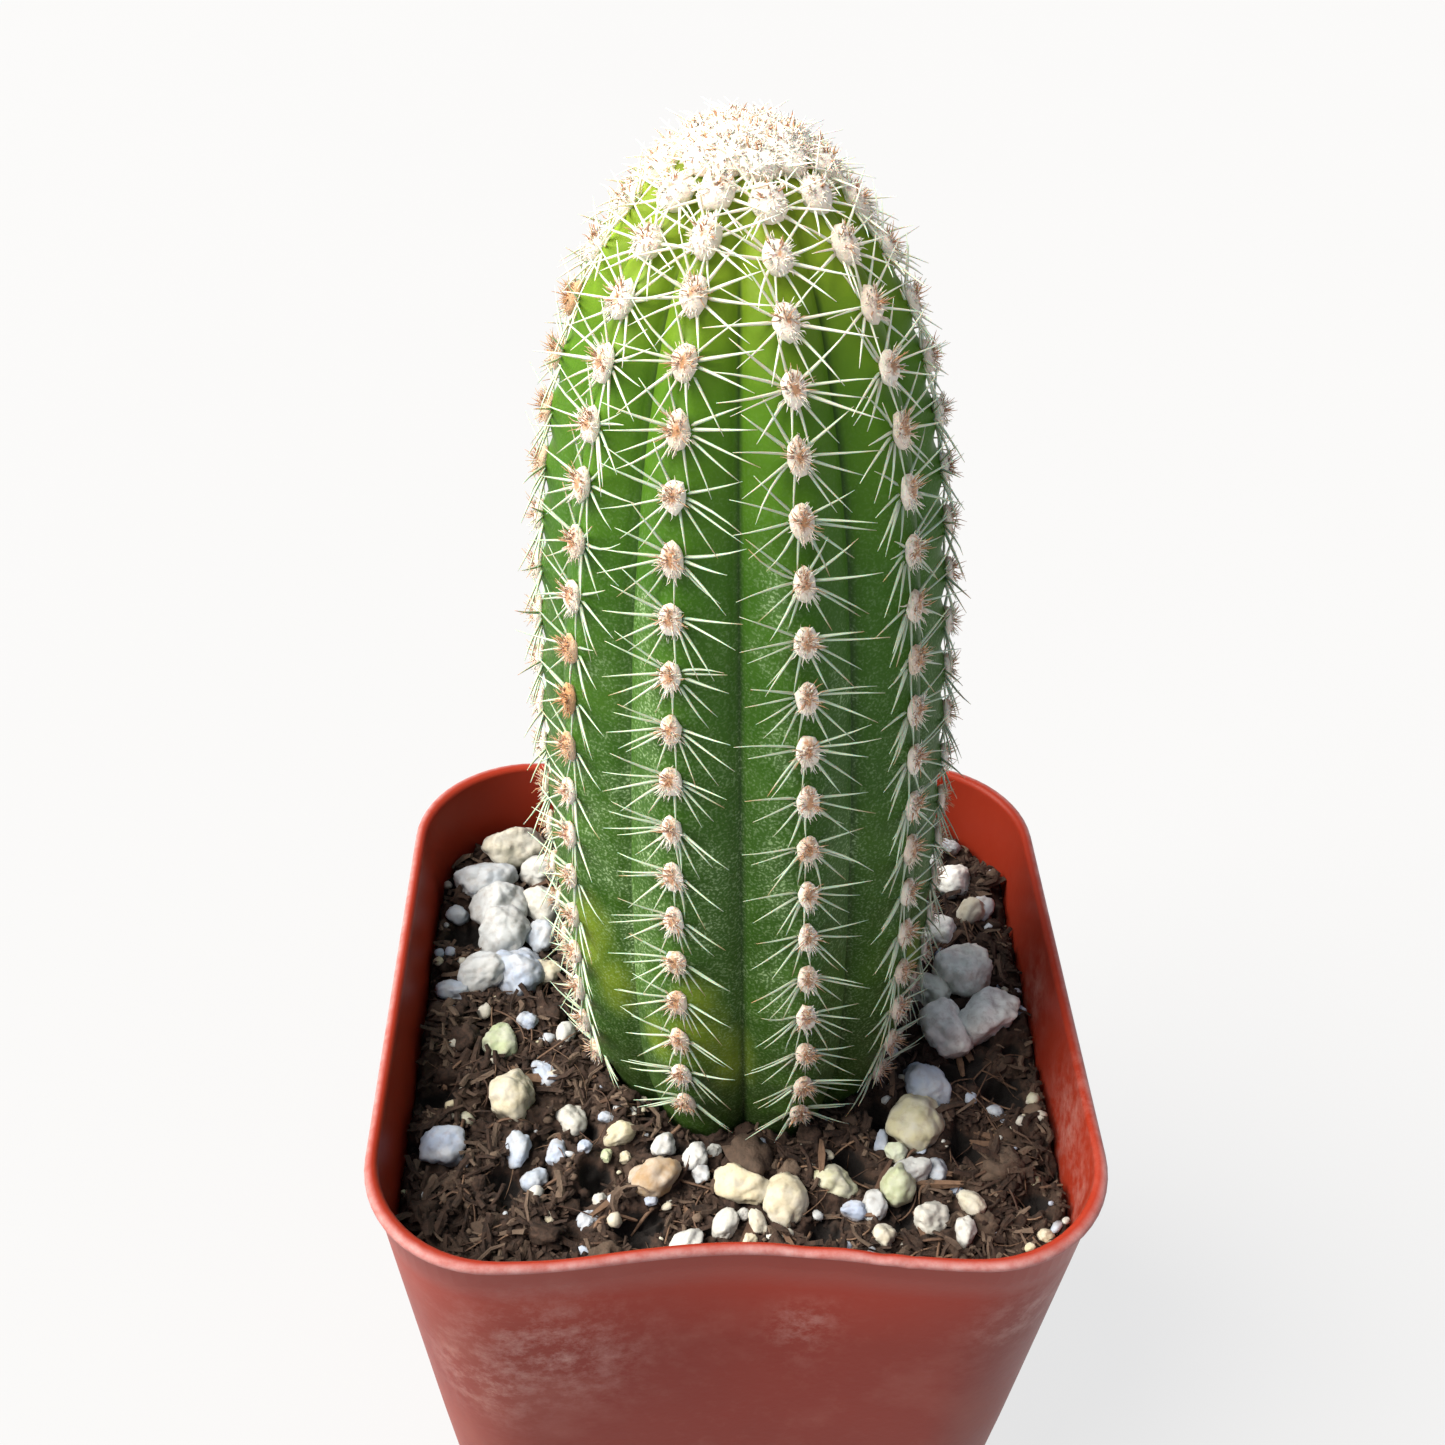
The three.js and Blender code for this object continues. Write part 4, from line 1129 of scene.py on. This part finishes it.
class CACTUS_OT_pot(bpy.types.Operator):
    """Make the square nursery pot with its slim lip and drain holes"""

    bl_idname = "cactus.pot"
    bl_label = "Pot"

    def execute(self, context):
        steps = 4 * QUARTER_STEPS
        bm = lathe(pot_profile(), steps)
        lip, outside, scuff = add_layers(bm, "lip", "outside", "scuff")
        for vert in bm.verts:
            height = vert.co.z
            half = math.hypot(vert.co.x, vert.co.y)
            point = tub_point(turn_step(vert.co, steps), half, height)
            near_top = min(max(height - POT_HEIGHT + LIP_NECK * LIP_WIDTH / 2, 0) / LIP_WIDTH, 1)
            # The lip's pale band, partly wear and partly painted highlight, fades inwards from the outer edge
            wear_and_highlight = 1 - (RIM_WIDTH / 2 - half) / LIP_WIDTH * LIP_WEAR_AND_HIGHLIGHT_FADE
            vert[lip] = near_top * min(max(wear_and_highlight, 0), 1)
            vert[outside] = 1 if half > inner_half(height) + WALL / 2 else DUST_AND_SHADE_INSIDE
            vert.co = Vector((point.x, point.y, height - near_top * self.lip_sink(point, half)))
            near = [math.exp(-((vert.co - Vector(spot)).length / reach) ** 2) for *spot, reach in SCUFFS]
            vert[scuff] = max(near)
        piece = make_piece(bm, "pot_tub", moulded_polypropylene(context.scene.cactus_pot))
        self.drill(context, piece)
        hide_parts("pot")
        return {"FINISHED"}

    def lip_sink(self, point, half):
        """How far the lip sinks below its full height at a place, from waves and moulding marks."""
        wave = 0.5 + 0.5 * noise.noise(Vector((point.x, point.y, 0)) / LIP_WAVE_LENGTH)
        sink = LIP_WAVE * wave
        if point.y < -half / 2:
            sink += sum(deep * math.exp(-(((point.x - x) / reach) ** 2)) for x, reach, deep in LIP_MARKS)
        return max(sink, 0)

    def drill(self, context, piece):
        """Cuts the drain holes out of the tub's floor for good."""
        holes = bmesh.new()
        for k in range(4):
            angle = math.pi / 4 + k * math.pi / 2
            place = Matrix.Rotation(angle, 4, "Z") @ Matrix.Translation((DRAIN_FROM_CENTRE, 0, FLOOR / 2))
            bmesh.ops.create_cone(
                holes, cap_ends=True, segments=DRAIN_STEPS, radius1=DRAIN_DIAMETER / 2,
                radius2=DRAIN_DIAMETER / 2, depth=3 * FLOOR, matrix=place,
            )
        bmesh.ops.scale(holes, vec=(MM, MM, MM), verts=holes.verts)
        mesh = bpy.data.meshes.new("Drill")
        holes.to_mesh(mesh)
        holes.free()
        cutter = bpy.data.objects.new("Drill", mesh)
        context.collection.objects.link(cutter)
        cut = piece.modifiers.new("Drain holes", "BOOLEAN")
        cut.operation = "DIFFERENCE"
        cut.solver = "EXACT"
        cut.object = cutter
        drilled = bpy.data.meshes.new_from_object(piece.evaluated_get(context.evaluated_depsgraph_get()))
        piece.modifiers.clear()
        piece.data = drilled
        bpy.data.objects.remove(cutter)


class CACTUS_OT_mix(bpy.types.Operator):
    """Make the bed of potting mix, with its crumbly top and the well that the stem stands in"""

    bl_idname = "cactus.mix"
    bl_label = "Potting mix"

    def execute(self, context):
        bm = bmesh.new()
        bmesh.ops.create_grid(bm, x_segments=BED_STEPS, y_segments=BED_STEPS, size=1)
        edge = [e for e in bm.edges if e.is_boundary]
        for height in (MIX_TOP - MIX_EDGE, WALL_RING, FLOOR + GAP + FLOOR_FILLET, FLOOR + GAP):
            wall = bmesh.ops.extrude_edge_only(bm, edges=edge)["geom"]
            edge = [part for part in wall if isinstance(part, bmesh.types.BMEdge) and part.is_boundary]
            for vert in {v for e in edge for v in e.verts}:
                vert.co.z = height
        bmesh.ops.holes_fill(bm, edges=edge)
        (hollow_shade,) = add_layers(bm, "hollow_shade")
        for vert in bm.verts:
            u, v, height = vert.co
            if height:
                inset = FLOOR_FILLET if height == FLOOR + GAP else 0
                vert.co = (*self.bed_place(u, v, height, inset), height)
            else:
                x, y = self.bed_place(u, v, MIX_TOP, 0)
                vert.co = (x, y, self.top_height(u, v, x, y))
                vert[hollow_shade] = sunkenness(vert.co)
        piece = make_piece(bm, "mix_bed", moist_peat(context.scene.cactus_mix))
        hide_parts("potting_mix")
        return {"FINISHED"}

    def bed_place(self, u, v, height, inset):
        """Spreads a place of the unit square over the pot's inside at a height."""
        half = inner_half(height) - GAP - inset
        corner = RIM_CORNER - WALL - GAP
        x, y = u * half, v * half
        over = max(abs(x) - half + corner, 0), max(abs(y) - half + corner, 0)
        if min(over) > 0:
            pull = 1 - max(over) / math.hypot(*over)
            x -= math.copysign(over[0] * pull, x)
            y -= math.copysign(over[1] * pull, y)
        if v < 0:
            y -= v * front_press(x, half - corner, half, height)
        return x, y

    def top_height(self, u, v, x, y):
        """Height of the crumbly top, which drops to the well's floor under the stem."""
        if stem_gap(x, y) < WELL_GAP:
            return WELL_FLOOR
        border = 1 - max(abs(u), abs(v))
        slope = MIX_EDGE * EDGE_SLOPE * max(1 - border * BED_STEPS / EDGE_STEPS, 0)
        return peat_height(x, y) - slope


class CACTUS_OT_peat(bpy.types.Operator):
    """Strew the mix with peat crumbs, clods, root fibres and bark slivers"""

    bl_idname = "cactus.peat"
    bl_label = "Peat and fibres"

    def execute(self, context):
        peat = bpy.data.materials["Moist peat"]
        bark = pine_bark(context.scene.cactus_mix)
        for name, rounds, count, *sizes in PEAT_SIZES:
            self.strew(name, rounds, count, sizes, CLODS if name == "peat_clods" else [], peat)
        self.lay_shreds(peat)
        self.lay_fibres(bark)
        self.lay_slivers(bark)
        return {"FINISHED"}

    def strew(self, name, rounds, count, sizes, known, material):
        """Rough lumps, mostly small, partly sunk in the bed; known ones come first."""
        draws = random.Random(SEEDS[name])
        bm = ball(rounds)
        tint, hollow_shade = add_layers(bm, "tint", "hollow_shade")
        for k, verts in enumerate(copies(bm, len(known) + count)):
            if k < len(known):
                x, y, size = known[k]
            else:
                size = mostly_small(draws, sizes, 2.2)
                x, y = peat_place(draws, size * LUMP_REACH, size * LUMP_SPREAD)
            half = Vector((1, draws.uniform(*LUMP_WIDTH), draws.uniform(*LUMP_THICKNESS))) * size / 2
            shape = Matrix.Diagonal(half)
            shape.rotate(Matrix.Rotation(draws.uniform(-LUMP_TILT, LUMP_TILT), 3, "X"))
            shape.rotate(Matrix.Rotation(draws.uniform(0, 2 * math.pi), 3, "Z"))
            centre = Vector((x, y, peat_height(x, y) + size * LUMP_RISE))
            shade = CLOD_TINT if k < len(known) else draws.random() ** 1.6
            offset = random_vector(draws, 0, 99)
            for vert in verts:
                rough = roughened(1, vert.co, offset, LUMP_BUMPS)
                vert.co = centre + shape @ (vert.co * rough)
                vert[tint] = shade
                vert[hollow_shade] = sunkenness(vert.co)
        make_piece(bm, name, material)

    def lay_shreds(self, material):
        """Short torn shreds of peat, lying every way."""
        draws = random.Random(SEEDS["peat_shreds"])
        bm = rod(4, 3)
        tint, hollow_shade = add_layers(bm, "tint", "hollow_shade")
        for verts in copies(bm, SHREDS):
            length = mostly_small(draws, SHRED_LENGTH, 1.8)
            x, y = peat_place(draws, length * SHRED_REACH, length * SHRED_SPREAD)
            heading = draws.uniform(0, 2 * math.pi)
            run = Vector((math.cos(heading), math.sin(heading), 0)) * length
            run.z = length * draws.uniform(-SHRED_TIP, SHRED_TIP)
            bend = run.cross(Vector((0, 0, 1))) * draws.gauss(0, SHRED_BEND)
            unbend = bend * draws.uniform(0.2, 1.4)
            root = Vector((x, y, peat_height(x, y) + SHRED_RISE + abs(run.z) * 0.4)) - run / 2
            knots = [root, root + run / 3 + bend, root + run * 2 / 3 + unbend, root + run]
            wide = min(draws.uniform(*SHRED_WIDTH), length * 0.3)
            shade = draws.random() ** 1.3
            for vert in verts:
                vert[tint] = shade
                vert.co.x += draws.uniform(-SHRED_RAGGED, SHRED_RAGGED)
                vert.co.y += draws.uniform(-SHRED_RAGGED, SHRED_RAGGED)
            lay_rod(verts, knots, wide, wide * draws.uniform(0.2, 0.9), flatness=SHRED_FLATNESS)
            for vert in verts:
                vert[hollow_shade] = sunkenness(vert.co)
        make_piece(bm, "peat_shreds", material, smooth=False)

    def lay_fibres(self, material):
        """Curled root fibres that lie on the bed."""
        draws = random.Random(SEEDS["root_fibres"])
        bm = rod(3, 7)
        (tint,) = add_layers(bm, "tint")
        for verts in copies(bm, FIBRES):
            length = mostly_small(draws, FIBRE_LENGTH, 2)
            x, y = peat_place(draws, length / 2, 0, gap_kept=0)
            heading = draws.uniform(0, 2 * math.pi)
            run = Vector((math.cos(heading), math.sin(heading), 0))
            aside = Vector((-run.y, run.x, 0))
            curl = draws.gauss(0, FIBRE_CURL) * length
            knots = []
            for k in range(4):
                inner = k in (1, 2)
                place = Vector((x, y, 0)) + run * length * (k / 3 - 0.5)
                place += aside * curl * inner * draws.uniform(0.3, 1)
                rise = draws.uniform(*(FIBRE_HUMP if inner else FIBRE_END))
                place.z = peat_height(place.x, place.y) + rise
                knots.append(place)
            thick = mostly_small(draws, FIBRE_RADIUS, 2)
            shade = draws.random()
            for vert in verts:
                vert[tint] = shade
            lay_rod(verts, knots, thick, thick * 0.5)
        make_piece(bm, "root_fibres", material)

    def lay_slivers(self, material):
        """Flat splinters of bark."""
        draws = random.Random(SEEDS["bark_slivers"])
        bm = bmesh.new()
        bmesh.ops.create_cube(bm, size=2)
        bmesh.ops.subdivide_edges(bm, edges=bm.edges, cuts=1, use_grid_fill=True)
        (tint,) = add_layers(bm, "tint")
        for verts in copies(bm, SLIVERS):
            length = mostly_small(draws, SLIVER_LENGTH, 2)
            x, y = free_place(draws, length / 2)
            width, thickness = draws.uniform(*SLIVER_WIDTH), draws.uniform(*SLIVER_THICKNESS)
            half = Vector((length / 2, length * width, length * thickness))
            shade = draws.uniform(0.15, 0.85)
            shape = Matrix.Diagonal(half)
            shape.rotate(Matrix.Rotation(draws.uniform(-SLIVER_TILT, SLIVER_TILT), 3, "Y"))
            shape.rotate(Matrix.Rotation(draws.uniform(0, 2 * math.pi), 3, "Z"))
            centre = Vector((x, y, peat_height(x, y) + SLIVER_RISE + half.z * 0.4))
            for vert in verts:
                taper = 1 - SLIVER_TAPER * vert.co.x**2
                local = Vector((vert.co.x, vert.co.y * taper, vert.co.z * taper))
                vert.co = centre + shape @ (local + random_vector(draws, -SLIVER_RAGGED, SLIVER_RAGGED))
                vert[tint] = shade
        make_piece(bm, "bark_slivers", material, smooth=False)


class CACTUS_OT_perlite(bpy.types.Operator):
    """Strew the mix with perlite grains, large and small"""

    bl_idname = "cactus.perlite"
    bl_label = "Perlite"

    def execute(self, context):
        settings = context.scene.cactus_mix
        material = expanded_perlite(settings)
        self.pile("perlite_large", GRAINS, 4, material)
        draws = random.Random(SEEDS["fine_places"])
        fine = []
        while len(fine) < settings.strewn:
            size = mostly_small(draws, STREWN_SIZE, 1.8)
            x, y = free_place(draws, size / 2)
            if not (on_grain(x, y, size / 2) or in_hole(x, y, 0)):
                width = size * draws.uniform(0.7, 1)
                fine.append((x, y, size, width, draws.uniform(0, 180), draws.uniform(0, STREWN_TINT)))
        self.pile("perlite_small", fine, 2, material)
        return {"FINISHED"}

    def pile(self, name, grains, rounds, material):
        """Blunt blocky lumps with bubbly skins, one for each grain."""
        draws = random.Random(SEEDS[name])
        bm = ball(rounds)
        tint, low = add_layers(bm, "tint", "low")
        for verts, (x, y, length, width, heading, shade) in zip(copies(bm, len(grains)), grains):
            facets = []
            for _ in range(GRAIN_FACETS):
                facing = Vector([draws.gauss(0, 1) for _ in range(3)]).normalized()
                facets.append(facing / draws.uniform(*FACET_DEPTH))
            half = Vector((length, width, width * GRAIN_FLATNESS)) / 2 * GRAIN_SWELL
            shape = Matrix.Diagonal(half)
            for axis in "XY":
                shape.rotate(Matrix.Rotation(math.radians(draws.uniform(-GRAIN_TILT, GRAIN_TILT)), 3, axis))
            shape.rotate(Matrix.Rotation(math.radians(heading), 3, "Z"))
            sink = GRAIN_SINK * min(half.z, 1)
            ground = max(mix_height(x, y), peat_height(x, y))
            centre = Vector((x, y, ground + GRAIN_RISE * half.z - sink))
            offset = random_vector(draws, 0, 99)
            for vert in verts:
                place = vert.co.copy()
                blunt = 1 + sum(max(place.dot(facet), 0) ** FACET_SHARPNESS for facet in facets)
                radius = roughened(blunt ** (-1 / FACET_SHARPNESS), place, offset, GRAIN_BUMPS)
                vert[tint] = shade
                vert.co = centre + shape @ (place * radius)
                vert[low] = min(max((centre.z - vert.co.z) / half.z, 0), DEEPEST_STAIN)
        make_piece(bm, name, material)


class CACTUS_OT_stem(bpy.types.Operator):
    """Make the ribbed stem with a low cushion under each areole"""

    bl_idname = "cactus.stem"
    bl_label = "Stem"

    def execute(self, context):
        rings = round(OUTLINE_LENGTH / RING_STEP)
        columns = RIBS * RIB_COLUMNS
        bm = lathe([(1, OUTLINE_LENGTH * k / rings) for k in range(rings + 1)], columns)
        furrow, age, flush, scurf = add_layers(bm, "furrow", "age", "flush", "scurf")
        for vert in bm.verts:
            rib = turn_step(vert.co, columns) / RIB_COLUMNS
            depth = min(max(vert.co.z, 0), OUTLINE_LENGTH)
            vert[furrow] = 2 * abs(rib - round(rib)) * min(depth / SHIFT_FADE_CROWN, 1)
            vert[age] = depth / OUTLINE_LENGTH
            ends = depth < END_REACH or depth > OUTLINE_LENGTH - END_REACH
            vert.co = stem_point(rib, depth, 0 if ends else skin_lift(rib, depth))
            vert[flush] = self.nearness(rib, vert.co.z, FLUSHES)
            vert[scurf] = self.nearness(rib, vert.co.z, SCURFS)
        bmesh.ops.remove_doubles(bm, verts=bm.verts, dist=MERGE_DISTANCE)
        piece = make_piece(bm, "stem", cactus_skin(context.scene.cactus_stem))
        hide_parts("cactus")
        return {"FINISHED"}

    def nearness(self, rib, height, spots):
        """How near a place of the skin is to the nearest of some spots, from 0 to 1."""
        found = 0
        for spot_rib, spot_height, across, along in spots:
            aside = (rib - spot_rib + RIBS / 2) % RIBS - RIBS / 2
            found = max(found, math.exp(-((aside / across) ** 2) - ((height - spot_height) / along) ** 2))
        return found


def areoles():
    """Every areole: its rib and number down it, its place, and the ways out, across and up the rib."""
    found = []
    for rib in range(RIBS):
        for n, depth in enumerate(AREOLE_DEPTHS):
            across = (stem_point(rib + 0.02, depth) - stem_point(rib - 0.02, depth)).normalized()
            up = (stem_point(rib, depth - 0.4) - stem_point(rib, depth + 0.4)).normalized()
            place = stem_point(rib, depth, PAD_HEIGHT if n else FIRST_PAD_HEIGHT)
            found.append((rib, n, place, across.cross(up).normalized(), across, up))
    for k in range(APEX_AREOLES):
        turn = k * GOLDEN_ANGLE
        reach = APEX_DEPTH * math.sqrt((k + 0.3) / APEX_AREOLES)
        place = stem_point(turn / (2 * math.pi) * RIBS % RIBS, reach, APEX_PAD_HEIGHT)
        outwards = (place - stem_point(0, 0, 0)) * Vector((1, 1, 0))
        out = (Vector((0, 0, 1)) + outwards * APEX_DOME).normalized()
        across = out.cross(Vector((math.sin(turn), math.cos(turn), 0))).normalized()
        found.append((k, -1, place, out, across, out.cross(across)))
    return found


class CACTUS_OT_wool(bpy.types.Operator):
    """Make the felt pad and the short hairs of each areole"""

    bl_idname = "cactus.wool"
    bl_label = "Areole wool"

    def execute(self, context):
        material = areole_felt(context.scene.cactus_spines)
        draws = random.Random(SEEDS["wool"])
        places = areoles()
        pads = ball(2)
        rim, stain = add_layers(pads, "rim", "stain")
        hairs = rod(3, 2)
        hair_rim, hair_stain = add_layers(hairs, "rim", "stain")
        strands = iter(copies(hairs, len(places) * HAIRS))
        for verts, (rib, n, place, out, across, up) in zip(copies(pads, len(places)), places):
            young = max(1 - max(n, 0) / YOUNG_AREOLES, 0)
            crown = max(1 - max(n, 0) / CROWN_AREOLES, 0)
            wide = self.grown(PAD_WIDTH, young, crown**2) * draws.uniform(*PAD_VARIETY)
            tall = self.grown(PAD_TALLNESS, young, crown**2) * draws.uniform(*PAD_VARIETY)
            deep = self.grown(PAD_DEPTH, young, crown)
            stained = any(rib == at and first <= n <= last for at, first, last in STAINED)
            soiled = draws.uniform(0.55, 0.9) if stained else 0.3 * draws.random() ** 2 * (1 - crown)
            offset = random_vector(draws, 0, 99)
            for vert in verts:
                below = max(-vert.co.y, 0) * 1.3
                above = max(vert.co.y, 0) * (0.4 + 0.5 * young)
                vert[rim] = math.hypot(vert.co.x, below, above) + CROWN_WHITENESS * crown
                vert[stain] = soiled
                local = vert.co * roughened(1, vert.co, offset, PAD_BUMPS)
                vert.co = place + across * local.x * wide + up * local.y * tall + out * local.z * deep
            for k in range(HAIRS):
                bristle = k < BRISTLES * (1 - 0.8 * crown)
                turn = draws.uniform(-0.4, math.pi + 0.4) if bristle else draws.uniform(0, 2 * math.pi)
                ring = draws.random() ** 0.5 * (0.75 if bristle else 1)
                flat = across * math.cos(turn) * wide + up * math.sin(turn) * tall
                rise = out * deep * math.sqrt(1 - 0.8 * ring * ring)
                root = place + flat * ring * HAIR_ROOT + rise * HAIR_ROOT
                lean = flat.normalized() * (0.25 + ring) + out * draws.uniform(0.35, 0.9)
                lean += random_vector(draws, -HAIR_STRAY, HAIR_STRAY)
                length = draws.uniform(*(BRISTLE_LENGTH if bristle else HAIR_LENGTH)) * (1 - 0.35 * crown)
                tip = root + lean.normalized() * length
                sag = random_vector(draws, -HAIR_SAG, HAIR_SAG)
                strand = next(strands)
                for vert in strand:
                    vert[hair_rim] = 0.1 if bristle else ring + 0.2 + CROWN_WHITENESS * crown
                    vert[hair_stain] = max(soiled, 0.2 if bristle else 0)
                knots = [root, root.lerp(tip, 0.35) + sag, root.lerp(tip, 0.7) + sag, tip]
                lay_rod(strand, knots, HAIR_RADIUS * (1 + 0.8 * crown), HAIR_TIP)
        make_piece(pads, "areole_pads", material)
        make_piece(hairs, "areole_hairs", material)
        return {"FINISHED"}

    def grown(self, sizes, young, crown):
        """A pad's half size: that of an old one, with what youth and the crown add to it."""
        return sizes[0] + sizes[1] * young + sizes[2] * crown


class CACTUS_OT_spines(bpy.types.Operator):
    """Make the fan of spines of each areole"""

    bl_idname = "cactus.spines"
    bl_label = "Spines"

    def execute(self, context):
        settings = context.scene.cactus_spines
        draws = random.Random(SEEDS["spines"])
        lines = []
        for areole in areoles():
            lines += self.fan(draws, settings, *areole)
        bm = rod(4, 4)
        along, tint, crown = add_layers(bm, "along", "tint", "crown")
        root = settings.thickness / MM / 2
        for verts, (knots, shade, thick, fresh) in zip(copies(bm, len(lines)), lines):
            for vert in verts:
                vert[tint] = shade
                vert[crown] = fresh
            lay_rod(verts, knots, root * thick, SPINE_TIP, along)
        make_piece(bm, "spines", spine_horn(settings))
        return {"FINISHED"}

    def fan(self, draws, settings, rib, n, place, out, across, up):
        """The spines of one areole: all round on young ones, mostly aside and down on old ones."""
        crown = max(1 - max(n, 0) / CROWN_SPINE_AREOLES, 0)
        fresh = max(1 - max(n, 0) / (2 * CROWN_SPINE_AREOLES), 0)
        old = min(max((n - OLD_FROM) / (OLD_TO - OLD_FROM), 0), 1)
        count = settings.fan - draws.choice((0, 1, 2)) - round(2 * old)
        if n < 0:
            count //= 3
        highest = FAN_HIGHEST[0] + (FAN_HIGHEST[1] - FAN_HIGHEST[0]) * old
        turn = RIB_FAN[rib % RIBS] * old
        shortest, longest = settings.shortest / MM, settings.longest / MM
        found = []
        for k in range(count):
            step = (k // 2 + 0.5 + draws.uniform(-0.4, 0.4)) / ((count + 1) // 2)
            angle = FAN_LOWEST + (highest - FAN_LOWEST) * step
            bearing = math.radians((angle if k % 2 else 180 - angle) + turn)
            sideways = abs(math.cos(bearing))
            length = shortest + (longest - shortest) * (0.2 + 0.8 * sideways) * draws.uniform(0.5, 1)
            length *= (1 - 0.12 * old - 0.3 * crown) * (APEX_SPINE if n < 0 else 1)
            raised = math.radians(draws.uniform(*SPINE_RAISE) + CROWN_RAISE * crown)
            along = across * math.cos(bearing) + up * math.sin(bearing)
            found.append(self.line(draws, place, out, along, raised, length, fresh))
        for _ in range(round(CROWN_TUFT * crown)):
            bearing = draws.uniform(0, 2 * math.pi)
            along = across * math.cos(bearing) + up * math.sin(bearing)
            raised = math.radians(draws.uniform(*TUFT_RAISE))
            found.append(self.line(draws, place, out, along, raised, draws.uniform(*TUFT_LENGTH), fresh))
        return [line for line in found if line]

    def line(self, draws, place, out, along, raised, length, fresh):
        """One spine's curve, tint, thickness and freshness, or None where the mix is in its way."""
        root = place + along * SPINE_SPREAD - out * SPINE_SINK
        aim = along * math.cos(raised) + out * math.sin(raised)
        aside = along.cross(out)
        kink = draws.gauss(0, 0.05) + (draws.choice((-0.22, 0.22)) if draws.random() < 0.05 else 0)
        droop = draws.uniform(-0.02, 0.09)
        shade = draws.random() * (1 - 0.6 * fresh)
        thick = draws.uniform(0.8, 1.15)
        highest = CAD_BOX[1].z / MM - SPINE_HEADROOM
        while True:
            tip = root + (aim + aside * kink - out * droop) * length
            if tip.z < highest:
                break
            length *= CRAMPED_SPINE
        if tip.z < mix_height(tip.x, tip.y) + MIX_CLEARANCE:
            return None
        far = root + aim * length * 2 / 3 + aside * kink * length * 0.3
        return [root, root + aim * length / 3, far, tip], shade, thick, fresh


class CACTUS_PT_panel(bpy.types.Panel):
    """The pieces of the potted cactus"""

    bl_idname = "CACTUS_PT_panel"
    bl_label = "Potted peanut cactus"
    bl_space_type = "VIEW_3D"
    bl_region_type = "UI"
    bl_category = "Cactus"

    def draw(self, context):
        for group in SETTINGS:
            box = self.layout.box()
            owner = getattr(context.scene, group)
            for name in SETTINGS[group].__annotations__:
                box.prop(owner, name)
        for operator in OPERATORS:
            self.layout.operator(operator.bl_idname)


SETTINGS = {
    "cactus_stage": StageSettings,
    "cactus_pot": PotSettings,
    "cactus_mix": MixSettings,
    "cactus_stem": StemSettings,
    "cactus_spines": SpineSettings,
}
OPERATORS = [
    CACTUS_OT_stage,
    CACTUS_OT_pot,
    CACTUS_OT_mix,
    CACTUS_OT_peat,
    CACTUS_OT_perlite,
    CACTUS_OT_stem,
    CACTUS_OT_wool,
    CACTUS_OT_spines,
]


def register():
    """Registers the settings, the operators and the panel."""
    for name, group in SETTINGS.items():
        bpy.utils.register_class(group)
        setattr(bpy.types.Scene, name, bpy.props.PointerProperty(type=group))
    for cls in [*OPERATORS, CACTUS_PT_panel]:
        bpy.utils.register_class(cls)


def unregister():
    """Takes them all away again."""
    for cls in [CACTUS_PT_panel, *reversed(OPERATORS)]:
        bpy.utils.unregister_class(cls)
    for name, group in SETTINGS.items():
        delattr(bpy.types.Scene, name)
        bpy.utils.unregister_class(group)


def main():
    """Makes every piece in order."""
    register()
    bpy.ops.cactus.stage()
    bpy.ops.cactus.pot()
    bpy.ops.cactus.mix()
    bpy.ops.cactus.peat()
    bpy.ops.cactus.perlite()
    bpy.ops.cactus.stem()
    bpy.ops.cactus.wool()
    bpy.ops.cactus.spines()


if __name__ == "__main__":
    main()
